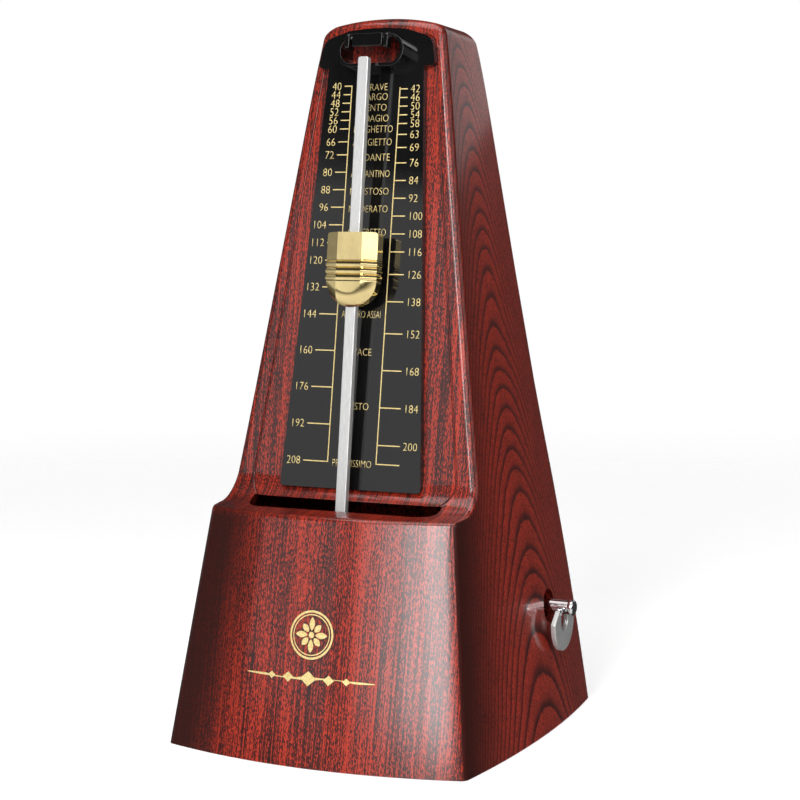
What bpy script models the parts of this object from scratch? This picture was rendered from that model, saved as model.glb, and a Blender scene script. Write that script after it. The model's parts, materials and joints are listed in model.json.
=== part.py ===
"""Wind-up metronome in a pyramid case.

The file builds the object as an assembly of separate pieces: a moulded case with its
front panel and scale plate, the pendulum with its sliding weight, and the clockwork
that drives it (mainspring, great wheel, ratchet, centre wheel, escape wheel, pallets).

Frame: +Z up, the front faces -Y, the key is on +X. The origin is under the middle of
the case, on the surface the metronome stands on. Dimensions are in millimetres and the
helpers turn them into metres.
"""

import math

import bmesh
import bpy
from mathutils import Matrix, Vector

MM = 0.001
GAP = 0.3                       # air kept between neighbouring pieces

# ---------------------------------------------------------------- driving dimensions
HEIGHT = 217.0                  # crown of the arched top
RIM_Z = 0.2                     # lower rim of the case; the feet reach z = 0
WALL = 2.4                      # wall of the moulded case
SHOULDER_Z = 70.9               # the ledge in front of the scale
TAPER_Z = 220.0                 # height at which the taper lines below are given

BASE_HALF_WIDTH = 48.2          # at z = 0, at the corners
SHOULDER_HALF_WIDTH = 39.75     # at the ledge, at the front corners
TOP_FRONT_HALF_WIDTH = 18.7     # at TAPER_Z
TOP_BACK_HALF_WIDTH = 19.55     # at TAPER_Z
LOWER_FULLNESS = 0.9            # extra half width of the back corners, most at 50 mm
LOWER_FULLNESS_TOP = 100.0      # height at which it has faded out
SIDE_BULGE = 3.5                # how far a side bows out at z = 0
BASE_FRONT_Y = -49.9            # front corners at z = 0
SHOULDER_FRONT_Y = -37.9        # front corners at the ledge
BASE_FRONT_BULGE = 7.6          # how far the lower front bows out at z = 0
SHOULDER_FRONT_BULGE = 6.1      # and at the ledge
BACK_Y = 57.1                   # back at z = 0
BACK_TOP_Y = 24.6               # back at TAPER_Z
CORNER_RADIUS = 2.4             # upright edges at the front
BACK_CORNER_RADIUS = 4.5        # upright edges at the back

RAIL_Y = -34.5                  # plane of the upper front: y = RAIL_Y + RAIL_SLOPE * z
RAIL_SLOPE = 0.155
RAIL_TILT = math.atan(RAIL_SLOPE)
LEDGE_EDGE_RADIUS = 1.4         # front edge of the ledge
LEDGE_FILLET = 9.0              # hollow curve from the ledge up into the rails
LEDGE_RISE = 0.4                # the ledge climbs this much from its edge to that curve
ARCH_DROP = 2.5                 # the top falls this much from the crown to its sides
BACK_DROP = 1.0                 # and this much from front to back
ARCH_START_Z = 190.0            # the sections start to follow the arch here
TOP_EDGE_RADIUS = 3.6           # rounding of the top's front and side edges
TOP_BACK_EDGE_RADIUS = 4.6      # rounding of the top's back edge

SLOT_HALF_LENGTH = 31.0         # opening in the ledge that the pendulum swings in
SLOT_FRONT_Y = -35.2
SLOT_CORNER_RADIUS = 7.0
SEAM_LOW = (34.5, 0.6)          # front panel outline: half width, distance up the slope
SEAM_HIGH = (17.5, 142.0)
PANEL_CORNER_RADIUS = 8.0
PANEL_TOP_RADIUS = 3.0
PANEL_THICKNESS = 2.2
SEAM_GAP = 0.2

PLATE_FACE = 2.6                # face of the scale plate in front of the rails' plane
PLATE_THICKNESS = 2.3
PLATE_BOTTOM = (23.2, 5.3)      # half width, distance up the slope from the ledge
PLATE_NECK = (15.7, 132.4)      # where the plate widens into its head
HEAD_HALF_WIDTH = 19.4
HEAD_TOP = 143.2
COLLAR_CENTRE = (0.4, 136.1)    # oval collar in the head: x, distance up the slope
COLLAR_SIZE = (21.7, 9.8)       # outer length and height
COLLAR_WALL = 1.0
COLLAR_REACH = 5.6              # how far the collar stands out of the plate
CLIP_PIN_S = COLLAR_CENTRE[1] + 3.3      # the clip turns on a pin at the collar's mouth
CLIP_PIN_OUT = COLLAR_REACH + 1.7        # in front of the plate's face
CLIP_PIN_RADIUS = 0.5
CLIP_PIN_HALF_LENGTH = 6.9
CLIP_BORE_RADIUS = 0.72
CLIP_BLOCK = (9.9, 3.9, 2.0)    # width, height, thickness
CLIP_EAR_X = 6.3                # ears that hold the pin, from the collar's middle
CLIP_EAR_THICKNESS = 1.4
CLIP_EAR = ((-1.5, -3.2, 0.5), (1.5, -3.2, 0.5), (1.5, 1.4, 1.3), (-1.5, 1.4, 1.3))

PIVOT = Vector((0.0, -32.92, 48.0))      # where the rod crosses its arbor
ROD_LEAN = math.radians(7.0)             # the rod leans back
ROD_WIDTH = 3.4
ROD_THICKNESS = 2.2
ROD_TOP = 157.6                 # above the pivot, along the rod
ROD_BOTTOM = -42.6

WEIGHT_CENTRE = 94.2            # above the pivot, along the rod
WEIGHT_WIDTH = 16.5
WEIGHT_HEIGHT = 22.0
WEIGHT_FRONT = -3.75            # across the rod, from its middle plane
WEIGHT_BACK = 2.6
WEIGHT_FLAT_WIDTH = 8.0         # the front face between its two bevels
WEIGHT_BEVEL = math.radians(25.0)
CHANNEL_HALF_WIDTH = 2.0        # channel for the rod
CHANNEL_HALF_DEPTH = 1.4
WEIGHT_CORNER = 0.5             # flat that breaks its upper corners
GRIP_GROOVES = 3
GRIP_GROOVE_TOP = 0.6           # height of the first groove, from the weight's middle
GRIP_GROOVE_PITCH = 1.7
GRIP_GROOVE_SIZE = 0.3          # depth and half height of a groove
LEAF_HALF_LENGTH = 7.5          # leaf spring between the weight and the rod
LEAF_BOW = 0.45
LEAF_THICKNESS = 0.3
LEAF_WIDTH = 3.0

COUNTERWEIGHT_RADII = (17.0, 43.4)       # inner and outer, about the pivot
COUNTERWEIGHT_HALF_ANGLE = math.radians(32.0)
COUNTERWEIGHT_SPAN = (-7.5, 10.0)        # front and back, from the rod's middle plane
COUNTERWEIGHT_SCREW_Z = -30.0
HUB_RADIUS = 6.0
HUB_SPAN = (-1.4, 6.0)
PENDULUM_ARBOR_RADIUS = 1.2
PENDULUM_ARBOR_SPAN = (2.5, 37.4)        # behind the rod's middle plane
PALLET_PLACES = (14.0, 30.6)             # front and rear pallet along that arbor
PALLET_RADIUS = 3.1

WINDING_AXIS = (21.2, 36.7)     # y, z of the winding arbor
CENTRE_AXIS = (2.7, 26.73)
ESCAPE_AXIS = (-10.3, 31.93)
GREAT_MODULE = 0.6
GREAT_TEETH = 60
CENTRE_PINION_TEETH = 10
CENTRE_MODULE = 0.5
CENTRE_TEETH = 48
ESCAPE_PINION_TEETH = 8
GEAR_BACKLASH = 0.24
GREAT_X = (-14.0, -12.0)        # where each wheel sits along X
CENTRE_PINION_X = (-15.5, -10.5)
CENTRE_WHEEL_X = (12.0, 13.4)
ESCAPE_PINION_X = (10.0, 15.4)
ESCAPE_WHEEL_X = (-0.6, 0.6)
RATCHET_X = (-11.4, -9.6)
ESCAPE_TEETH = 30
ESCAPE_RADIUS = 11.4
RATCHET_TEETH = 12
RATCHET_RADII = (6.6, 8.6)
CLICK_ANGLE = math.radians(60.0)         # where the click's screw sits on the great wheel
CLICK_REACH = math.radians(22.0)         # from there round to its nose
CLICK_RADIUS = 12.6
SPRING_X = (-7.0, 8.0)
SPRING_RADII = (4.2, 15.2)
SPRING_TURNS = 7
SPRING_THICKNESS = 0.45

FRAME_X = 20.0                  # inner face of each frame plate
FRAME_THICKNESS = 2.0
FRAME_FLANGE = 8.0              # foot of each frame plate
PILLARS = ((-19.0, 12.0), (37.0, 13.0), (37.0, 52.0), (2.0, 52.0))   # y, z
PILLAR_RADIUS = 2.2
FRAME_OUTLINE = ((-22.0, 3.0, 0.0), (41.0, 3.0, 0.0), (41.0, 56.5, 5.0), (-2.5, 56.5, 4.0),
                 (-7.0, 52.0, 3.0), (-27.0, 52.0, 2.0), (-27.0, 41.0, 2.0), (-22.0, 38.0, 2.0))
BRIDGES = {"front_bridge": ((-24.6, -22.8), (43.2, 50.2)),    # y and z spans
           "rear_bridge": ((0.3, 2.1), (41.6, 47.6))}
BRIDGE_FIT = 0.2                # air round a bridge's end in its slot

KEY_SHAFT_RADIUS = 2.2
KEY_TIP_RADIUS = 2.5
KEY_TIP_X = 55.2
KEY_SOCKET = (24.0, 30.6)       # bore of the shaft that the arbor screws into
KEY_HOLE_RADIUS = 5.3
KEY_PIN_RADIUS = 0.6
WING_PIN_X = 51.0
WING_PIN_DROP = 1.2             # the pin lies this far below the shaft's axis
WING_HALF_WIDTH = 8.5
WING_SHOULDER = 3.0             # heights below the pin: widest point, foot and slot
WING_REACH = 12.4
WING_SLOT_REACH = 3.2
WING_THICKNESS = 1.6
WING_SLOT_HALF_WIDTH = 3.0
WING_ARM_HALF_WIDTH = 4.4
KNUCKLE_RADIUS = 1.25
KNUCKLE_BORE_RADIUS = 0.74

BASE_TOP_Z = 2.6
BASE_BOTTOM_Z = 0.6
CASE_SCREWS = ((-42.0, -43.6), (42.0, -43.6), (-41.4, 49.8), (41.4, 49.8))
FRAME_SCREWS = ((-26.0, -16.0), (26.0, -16.0), (-26.0, 34.0), (26.0, 34.0))
FEET = ((-33.0, -40.0), (33.0, -40.0), (-33.0, 44.0), (33.0, 44.0))
FOOT_RADIUS = 5.0
FOOT_HEIGHT = 1.3
BOSS_RADIUS = 3.5
BOSS_TOP_Z = 14.0
SCREW_RADIUS = 1.2
SCREW_HEAD_RADIUS = 2.6
SCREW_HEAD_EDGE = 0.3           # straight edge of the head, then its cone
SCREW_HEAD_HEIGHT = 1.5
CASE_SCREW_LENGTH = 11.0
FRAME_SCREW_LENGTH = 4.2

# ---------------------------------------------------------------- materials
# name: (colour, metallic, roughness)
FINISHES = {
    "mahogany": ((0.27, 0.045, 0.035, 1.0), 0.0, 0.18),
    "black_plastic": ((0.012, 0.012, 0.013, 1.0), 0.0, 0.28),
    "rod_steel": ((0.78, 0.78, 0.77, 1.0), 0.9, 0.35),
    "polished_brass": ((0.86, 0.66, 0.28, 1.0), 1.0, 0.12),
    "wheel_brass": ((0.78, 0.60, 0.30, 1.0), 1.0, 0.28),
    "frame_steel": ((0.55, 0.55, 0.56, 1.0), 1.0, 0.35),
    "spring_steel": ((0.22, 0.24, 0.30, 1.0), 1.0, 0.25),
    "arbor_steel": ((0.65, 0.65, 0.66, 1.0), 1.0, 0.22),
    "chrome": ((0.80, 0.80, 0.82, 1.0), 1.0, 0.08),
    "cast_iron": ((0.10, 0.10, 0.105, 1.0), 0.7, 0.55),
    "rubber": ((0.02, 0.02, 0.02, 1.0), 0.0, 0.8),
}


# ---------------------------------------------------------------- scene and helpers
def clear_scene():
    """Start from a scene with no objects."""
    for obj in list(bpy.data.objects):
        bpy.data.objects.remove(obj, do_unlink=True)


def new_collection(name):
    """A collection linked to the scene."""
    collection = bpy.data.collections.new(name)
    bpy.context.scene.collection.children.link(collection)
    return collection


clear_scene()
PARTS = new_collection("metronome")
CUTTERS = new_collection("cutters")


def material(finish):
    """The shared Principled material of one finish."""
    found = bpy.data.materials.get(finish)
    if found:
        return found
    colour, metallic, roughness = FINISHES[finish]
    made = bpy.data.materials.new(finish)
    made.use_nodes = True
    shader = made.node_tree.nodes["Principled BSDF"]
    shader.inputs["Base Color"].default_value = colour
    shader.inputs["Metallic"].default_value = metallic
    shader.inputs["Roughness"].default_value = roughness
    made.diffuse_color = colour
    return made


def add_object(name, mesh, finish=None, smooth_deg=None):
    """Put a mesh into the metronome's collection, or a cutter into its own."""
    obj = bpy.data.objects.new(name, mesh)
    if finish is None:
        CUTTERS.objects.link(obj)
        obj.hide_render = True
        obj.display_type = 'WIRE'
    else:
        PARTS.objects.link(obj)
        mesh.materials.append(material(finish))
    if smooth_deg is not None:
        mesh.shade_smooth()
        mesh.set_sharp_from_angle(angle=math.radians(smooth_deg))
    return obj


def mesh_from_bmesh(name, shape):
    """Turn a bmesh in millimetres into a mesh in metres with outward normals."""
    bmesh.ops.recalc_face_normals(shape, faces=shape.faces)
    bmesh.ops.scale(shape, vec=(MM, MM, MM), verts=shape.verts)
    mesh = bpy.data.meshes.new(name)
    shape.to_mesh(mesh)
    shape.free()
    return mesh


def axis_empty(name, location, rotation=(0.0, 0.0, 0.0)):
    """An empty on a joint axis; location in millimetres."""
    empty = bpy.data.objects.new(name, None)
    empty.location = Vector(location) * MM
    empty.rotation_euler = rotation
    empty.empty_display_size = 5.0 * MM
    PARTS.objects.link(empty)
    return empty


def place(obj, location=(0.0, 0.0, 0.0), rotation=(0.0, 0.0, 0.0), parent=None):
    """Set an object's place under its parent; location in millimetres."""
    obj.location = Vector(location) * MM
    obj.rotation_euler = rotation
    obj.parent = parent
    return obj


ALONG_X = (math.radians(90.0), 0.0, math.radians(90.0))    # local x, y, z -> y, z, x
ALONG_Y = (math.radians(90.0), 0.0, 0.0)                   # local x, y, z -> x, z, -y
SCREW_ALONG_X = (0.0, math.radians(90.0), 0.0)             # local z -> x
SCREW_ALONG_Y = (math.radians(-90.0), 0.0, 0.0)            # local z -> y
POINT_DOWN = (math.radians(180.0), 0.0, 0.0)               # local z -> -z
ALONG_X_IN_PLANE = (0.0, math.radians(90.0), 0.0)          # local x, y, z -> -z, y, x


def flat_piece(name, loops, thickness, finish=None, smooth_deg=None):
    """A flat outline, with holes, extruded evenly to both sides of its local XY plane."""
    curve = bpy.data.curves.new(name + "_outline", 'CURVE')
    curve.dimensions = '2D'
    curve.fill_mode = 'BOTH'
    curve.extrude = thickness / 2 * MM
    for points in loops:
        spline = curve.splines.new('POLY')
        spline.points.add(len(points) - 1)
        for point, (x, y) in zip(spline.points, points):
            point.co = (x * MM, y * MM, 0.0, 1.0)
        spline.use_cyclic_u = True
    guide = bpy.data.objects.new(name + "_outline", curve)
    CUTTERS.objects.link(guide)
    graph = bpy.context.evaluated_depsgraph_get()
    mesh = bpy.data.meshes.new_from_object(guide.evaluated_get(graph))
    bpy.data.objects.remove(guide, do_unlink=True)
    shape = bmesh.new()
    shape.from_mesh(mesh)
    bmesh.ops.remove_doubles(shape, verts=shape.verts, dist=0.001 * MM)
    bmesh.ops.dissolve_limit(shape, angle_limit=math.radians(0.5), verts=shape.verts, edges=shape.edges)
    bmesh.ops.triangulate(shape, faces=shape.faces, ngon_method='BEAUTY')
    bmesh.ops.recalc_face_normals(shape, faces=shape.faces)
    shape.to_mesh(mesh)
    shape.free()
    mesh.name = name
    mesh.materials.clear()
    return add_object(name, mesh, finish, smooth_deg)


def turned_piece(name, profile, finish=None, steps=24):
    """Spin a profile of (radius, z), given from top to bottom, about local Z."""
    mesh = bpy.data.meshes.new(name)
    points = [(radius * MM, 0.0, z * MM) for radius, z in profile]
    edges = [(i, i + 1) for i in range(len(points) - 1)]
    mesh.from_pydata(points, edges, [])
    obj = add_object(name, mesh, finish)
    screw = obj.modifiers.new("spin", 'SCREW')
    screw.axis = 'Z'
    screw.steps = steps
    screw.render_steps = steps
    screw.use_merge_vertices = True
    screw.merge_threshold = 0.00001
    screw.use_smooth_shade = True
    bake(obj)
    if finish is not None:
        obj.data.shade_smooth()
        obj.data.set_sharp_from_angle(angle=math.radians(35.0))
    return obj


def cylinder(name, radius, start, end, finish=None, steps=24):
    """A plain cylinder about local Z, from start to end."""
    return turned_piece(name, [(0.0, end), (radius, end), (radius, start), (0.0, start)],
                        finish, steps)


def box(name, low, high, finish=None):
    """A box between two corners."""
    shape = bmesh.new()
    bmesh.ops.create_cube(shape, size=1.0)
    size = Vector(high) - Vector(low)
    middle = (Vector(high) + Vector(low)) / 2
    bmesh.ops.scale(shape, vec=size, verts=shape.verts)
    bmesh.ops.translate(shape, vec=middle, verts=shape.verts)
    return add_object(name, mesh_from_bmesh(name, shape), finish)


def bake(obj):
    """Replace an object's mesh by what its modifiers make of it."""
    bpy.context.view_layer.update()
    graph = bpy.context.evaluated_depsgraph_get()
    mesh = bpy.data.meshes.new_from_object(obj.evaluated_get(graph))
    obj.modifiers.clear()
    old = obj.data
    obj.data = mesh
    bpy.data.meshes.remove(old)
    obj.data.name = obj.name


def boolean(obj, cutter, operation):
    """Cut or join with another object, which is then removed."""
    change = obj.modifiers.new(operation.lower(), 'BOOLEAN')
    change.operation = operation
    change.solver = 'EXACT'
    change.object = cutter
    bake(obj)
    bpy.data.objects.remove(cutter, do_unlink=True)


def cut(obj, *cutters):
    """Take every cutter away from an object."""
    for cutter in cutters:
        boolean(obj, cutter, 'DIFFERENCE')


def join(obj, *pieces):
    """Melt other solids into an object."""
    for piece in pieces:
        boolean(obj, piece, 'UNION')


def smooth(obj, angle_deg=30.0):
    """Shade an object smooth, with its real edges kept sharp."""
    obj.data.shade_smooth()
    obj.data.set_sharp_from_angle(angle=math.radians(angle_deg))


# ---------------------------------------------------------------- outlines
def lerp(a, b, t):
    """The value a fraction t of the way from a to b."""
    return a + (b - a) * t


def circle(radius, count, centre=(0.0, 0.0)):
    """Points round a circle."""
    angles = (math.tau * i / count for i in range(count))
    return [(centre[0] + radius * math.cos(a), centre[1] + radius * math.sin(a)) for a in angles]


def arc(centre, radius, start_deg, end_deg, count):
    """Points along an arc, both ends included."""
    points = []
    for i in range(count):
        angle = math.radians(lerp(start_deg, end_deg, i / (count - 1)))
        points.append((centre[0] + radius * math.cos(angle), centre[1] + radius * math.sin(angle)))
    return points


def round_corner(before, corner, after, radius, count=5):
    """Points of an arc that rounds one corner of an outline."""
    corner = Vector(corner)
    to_before = (Vector(before) - corner).normalized()
    to_after = (Vector(after) - corner).normalized()
    half = to_before.angle(to_after) / 2
    centre = corner + (to_before + to_after).normalized() * (radius / math.sin(half))
    first = corner + to_before * (radius / math.tan(half)) - centre
    last = corner + to_after * (radius / math.tan(half)) - centre
    points = []
    for i in range(count):
        spread = first.lerp(last, i / (count - 1)).normalized() * radius
        points.append(tuple(centre + spread))
    return points


def rounded_outline(corners, count=5):
    """A closed outline from (x, y, radius) corners."""
    points = []
    for i, (x, y, radius) in enumerate(corners):
        if radius <= 0.0:
            points.append((x, y))
            continue
        before = corners[i - 1][:2]
        after = corners[(i + 1) % len(corners)][:2]
        points += round_corner(before, (x, y), after, radius, count)
    return points


def oval(length, height, centre=(0.0, 0.0), count=9):
    """A slot-shaped outline with half-round ends."""
    radius = height / 2
    reach = length / 2 - radius
    right = arc((centre[0] + reach, centre[1]), radius, -90.0, 90.0, count)
    left = arc((centre[0] - reach, centre[1]), radius, 90.0, 270.0, count)
    return right + left


def gear_outline(teeth, module, phase, shorten=0.0):
    """Outline of a spur gear with straight-flanked teeth; one tooth points at phase."""
    pitch_radius = teeth * module / 2
    tip = pitch_radius + (0.9 - shorten) * module
    root = pitch_radius - 1.2 * module
    half_tooth = (math.pi * module / 2 - GEAR_BACKLASH) / 2
    slant = math.tan(math.radians(18.0))
    half_tip = (half_tooth - (tip - pitch_radius) * slant) / tip
    half_root = (half_tooth + (pitch_radius - root) * slant * 0.6) / root
    points = []
    for i in range(teeth):
        middle = phase + math.tau * i / teeth
        for radius, side in ((root, -half_root), (tip, -half_tip), (tip, half_tip), (root, half_root)):
            angle = middle + side
            points.append((radius * math.cos(angle), radius * math.sin(angle)))
    return points


def saw_outline(teeth, root, tip, phase, lean):
    """Outline of a ratchet or escape wheel: each tooth rises steeply, then falls away."""
    points = []
    for i in range(teeth):
        middle = phase + math.tau * i / teeth
        step = math.tau / teeth
        for radius, share in ((root, 0.0), (tip, lean), (tip, lean + 0.08)):
            angle = middle + step * share
            points.append((radius * math.cos(angle), radius * math.sin(angle)))
    return points


def spoke_holes(inner, outer, count, spoke_width):
    """Openings between the spokes of a wheel."""
    holes = []
    for i in range(count):
        middle = math.tau * (i + 0.5) / count
        half_outer = math.pi / count - spoke_width / 2 / outer
        half_inner = math.pi / count - spoke_width / 2 / inner
        rim = [(outer, middle + half_outer * s) for s in (-1.0, -0.5, 0.0, 0.5, 1.0)]
        hub = [(inner, middle + half_inner * s) for s in (1.0, 0.0, -1.0)]
        holes.append([(r * math.cos(a), r * math.sin(a)) for r, a in rim + hub])
    return holes


# ---------------------------------------------------------------- the case
def half_width_back(z):
    """Half width at the back corners, which are a little full low down."""
    width = lerp(BASE_HALF_WIDTH, TOP_BACK_HALF_WIDTH, z / TAPER_Z)
    if 0.0 < z < LOWER_FULLNESS_TOP:
        width += LOWER_FULLNESS * math.sin(math.pi * z / LOWER_FULLNESS_TOP)
    return width


def half_width_front(z):
    """Half width at the front corners of the un-cut pyramid."""
    if z <= SHOULDER_Z:
        return lerp(BASE_HALF_WIDTH, SHOULDER_HALF_WIDTH, z / SHOULDER_Z)
    share = (z - SHOULDER_Z) / (TAPER_Z - SHOULDER_Z)
    return lerp(SHOULDER_HALF_WIDTH, TOP_FRONT_HALF_WIDTH, share)


def base_front(z):
    """Y of the lower front's corners, and of the line they follow above the ledge."""
    return lerp(BASE_FRONT_Y, SHOULDER_FRONT_Y, z / SHOULDER_Z)


def base_bulge(z):
    """How far the lower front bows out at a height."""
    return lerp(BASE_FRONT_BULGE, SHOULDER_FRONT_BULGE, z / SHOULDER_Z)


def back_face(z):
    """Y of the flat back."""
    return lerp(BACK_Y, BACK_TOP_Y, z / TAPER_Z)


def rail_face(z):
    """Y of the upper front's plane."""
    return RAIL_Y + RAIL_SLOPE * z


def side_face(y, z):
    """X of the bowed right side."""
    front = base_front(z)
    back = back_face(z)
    share = (y - front) / (back - front)
    bow = SIDE_BULGE * (half_width_back(z) / BASE_HALF_WIDTH) ** 2
    return lerp(half_width_front(z), half_width_back(z), share) + bow * 4 * share * (1 - share)


def section(z, front_y, front_bulge, inset=0.0, side_steps=6, front_steps=8):
    """One horizontal outline of the case, anticlockwise seen from above.

    front_y is where the front corners lie, front_bulge how far the front bows out, and
    inset moves the whole outline inwards."""
    back_y = back_face(z) - inset
    front_y += inset
    right = []
    for i in range(side_steps + 1):
        y = lerp(front_y, back_y, i / side_steps)
        right.append((side_face(y, z) - inset, y))
    corner_x = right[0][0]
    front = []
    for i in range(1, front_steps):
        x = lerp(-corner_x, corner_x, i / front_steps)
        front.append((x, front_y - front_bulge * (1 - (x / corner_x) ** 2)))
    left = [(-x, y) for x, y in reversed(right)]
    front_radius = max(CORNER_RADIUS - inset, 0.4)
    back_radius = max(BACK_CORNER_RADIUS - inset, 0.4)
    outline = list(front)
    outline += round_corner(front[-1], right[0], right[1], front_radius)
    outline += right[1:-1]
    outline += round_corner(right[-2], right[-1], (0.0, back_y), back_radius)
    outline += [(0.0, back_y)]
    outline += round_corner((0.0, back_y), left[0], left[1], back_radius)
    outline += left[1:-1]
    outline += round_corner(left[-2], left[-1], front[0], front_radius)
    return outline


def arched(x, y, z):
    """Height of a point once the sections near the top follow its arch."""
    share = max(0.0, (z - ARCH_START_Z) / (HEIGHT - ARCH_START_Z)) ** 2
    width = TOP_FRONT_HALF_WIDTH
    depth = back_face(HEIGHT) - rail_face(HEIGHT)
    fall = ARCH_DROP * (x / width) ** 2
    fall += BACK_DROP * (y - rail_face(HEIGHT)) / depth
    return z - share * fall


def skin_rings(inset):
    """Horizontal rings of the case's skin from the rim up, as lists of 3-D points."""
    floor = -1.0 if inset else RIM_Z
    shoulder = SHOULDER_Z - inset
    rings = []

    def ring(z, front_y, bulge):
        rings.append([(x, y, arched(x, y, z)) for x, y in section(z, front_y, bulge, inset)])

    edge = LEDGE_EDGE_RADIUS
    for z in (floor, 25.0, 50.0):
        ring(z, base_front(z), base_bulge(z))
    for angle in (0.0, 30.0, 60.0, 90.0):
        turn = math.radians(angle)
        z = shoulder - edge + edge * math.sin(turn)
        ring(z, base_front(z) + edge * (1 - math.cos(turn)), base_bulge(z))
    fillet = LEDGE_FILLET + inset
    rail = rail_face(SHOULDER_Z)
    for angle in (0.0, 22.5, 45.0, 67.5, 85.0):
        turn = math.radians(angle)
        y = rail - LEDGE_FILLET + fillet * math.sin(turn) - inset
        z = shoulder + LEDGE_RISE + fillet * (1 - math.cos(turn))
        y += RAIL_SLOPE * (z - SHOULDER_Z)
        fade = 1.0 - (angle / 85.0) ** 0.5
        ring(z, y, SHOULDER_FRONT_BULGE * fade * 0.6)
    for z in (105.0, 150.0, ARCH_START_Z, 203.0):
        ring(z, rail_face(z), 0.0)
    top = HEIGHT - inset
    rings += top_rings(top, inset)
    return rings


def top_rings(top, inset):
    """Rings of the rounded upper edge and of the arched top itself."""
    rings = []
    front = rail_face(HEIGHT)
    depth = back_face(HEIGHT) - front
    for angle in (0.0, 25.0, 50.0, 75.0, 90.0):
        turn = math.radians(angle)
        lift = 1 - math.sin(turn)
        outline = section(top - 4.0 * lift, rail_face(top - 4.0 * lift), 0.0, inset)
        middle = Vector((0.0, front + depth / 2))
        points = []
        for x, y in outline:
            share = min(max((y - front) / depth, 0.0), 1.0)
            radius = lerp(TOP_EDGE_RADIUS, TOP_BACK_EDGE_RADIUS, share ** 2)
            radius = max(radius - inset, 0.6)
            inwards = (middle - Vector((x, y)))
            spot = Vector((x, y)) + inwards.normalized() * radius * (1 - math.cos(turn))
            z = top - radius * lift
            points.append((spot.x, spot.y, arched(spot.x, spot.y, z)))
        rings.append(points)
    last = rings[-1]
    for shrink in (0.6, 0.25):
        points = []
        for x, y, _ in last:
            spot = (x * shrink, lerp(front + depth / 2, y, shrink))
            points.append((spot[0], spot[1], arched(spot[0], spot[1], top)))
        rings.append(points)
    return rings


def bridge_rings(shape, rings, flip=False):
    """Join neighbouring rings with quads and return their vertices."""
    rows = [[shape.verts.new(point) for point in ring] for ring in rings]
    for low, high in zip(rows, rows[1:]):
        for i in range(len(low)):
            j = (i + 1) % len(low)
            quad = (low[i], low[j], high[j], high[i])
            shape.faces.new(reversed(quad) if flip else quad)
    return rows


def case_blank():
    """The case as one open-bottomed skin, before its openings are cut."""
    shape = bmesh.new()
    outer = bridge_rings(shape, skin_rings(0.0))
    inner_rings = skin_rings(WALL)
    inner_rings[0] = [(x, y, RIM_Z) for x, y, _ in inner_rings[0]]
    inner = bridge_rings(shape, inner_rings, flip=True)
    shape.faces.new(outer[-1])
    shape.faces.new(list(reversed(inner[-1])))
    count = len(outer[0])
    for i in range(count):
        j = (i + 1) % count
        shape.faces.new((outer[0][j], outer[0][i], inner[0][i], inner[0][j]))
    bmesh.ops.triangulate(shape, faces=shape.faces)
    return add_object("case_shell", mesh_from_bmesh("case_shell", shape), "mahogany")


def rail_plane():
    """Empty in the rails' plane at the ledge: local X right, Y up the slope, Z outwards."""
    return axis_empty("front_plane", (0.0, rail_face(SHOULDER_Z), SHOULDER_Z),
                      (math.radians(90.0) - RAIL_TILT, 0.0, 0.0))


def panel_outline(gap):
    """Outline of the front panel, or of its window when gap is zero."""
    low_x, low_s = SEAM_LOW
    high_x, high_s = SEAM_HIGH
    return rounded_outline([
        (-low_x + gap, low_s + gap, PANEL_CORNER_RADIUS),
        (low_x - gap, low_s + gap, PANEL_CORNER_RADIUS),
        (high_x - gap, high_s - gap, PANEL_TOP_RADIUS),
        (-high_x + gap, high_s - gap, PANEL_TOP_RADIUS),
    ], count=7)


def screw_profile(length, grow=0.0):
    """Countersunk screw pointing down local -Z from its head at z = 0."""
    head = SCREW_HEAD_RADIUS + grow
    shank = SCREW_RADIUS + grow
    top = grow * 2
    tip = -length - grow * 2
    return [(0.0, top), (head, top), (head, -SCREW_HEAD_EDGE - grow),
            (shank, -SCREW_HEAD_HEIGHT - grow), (shank, tip), (0.0, tip)]


def make_case(front):
    """Case shell with its window, pendulum slot, key hole and screw bosses."""
    case = case_blank()
    window = flat_piece("window", [panel_outline(0.0)], 40.0)
    place(window, (0.0, 0.0, 20.0 - PANEL_THICKNESS - 1.5), parent=front)
    slot = flat_piece("slot", [rounded_outline([
        (-SLOT_HALF_LENGTH, SLOT_FRONT_Y, SLOT_CORNER_RADIUS),
        (SLOT_HALF_LENGTH, SLOT_FRONT_Y, SLOT_CORNER_RADIUS),
        (SLOT_HALF_LENGTH, rail_face(SHOULDER_Z) + 4.0, 0.0),
        (-SLOT_HALF_LENGTH, rail_face(SHOULDER_Z) + 4.0, 0.0)], count=7)], 10.0)
    place(slot, (0.0, 0.0, SHOULDER_Z - 2.5))
    key_hole = cylinder("key_hole", KEY_HOLE_RADIUS, 30.0, 70.0, steps=32)
    place(key_hole, (0.0, *WINDING_AXIS), SCREW_ALONG_X)
    cut(case, window, slot, key_hole)
    bosses = []
    for i, (x, y) in enumerate(CASE_SCREWS):
        boss = cylinder(f"boss_{i}", BOSS_RADIUS, BASE_TOP_Z + GAP, BOSS_TOP_Z, steps=16)
        bosses.append(place(boss, (x, y, 0.0)))
    join(case, *bosses)
    holes = []
    for i, (x, y) in enumerate(CASE_SCREWS):
        profile = screw_profile(CASE_SCREW_LENGTH + 0.4, GAP)
        hole = turned_piece(f"boss_hole_{i}", profile, steps=12)
        holes.append(place(hole, (x, y, BASE_BOTTOM_Z), POINT_DOWN))
    cut(case, *holes)
    smooth(case)
    return case


def make_front_panel(front):
    """Wood-grained panel that closes the window behind the scale plate."""
    panel = flat_piece("front_panel", [panel_outline(SEAM_GAP)], PANEL_THICKNESS, "mahogany", 30.0)
    return place(panel, (0.0, 0.0, -PANEL_THICKNESS / 2), parent=front)


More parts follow.
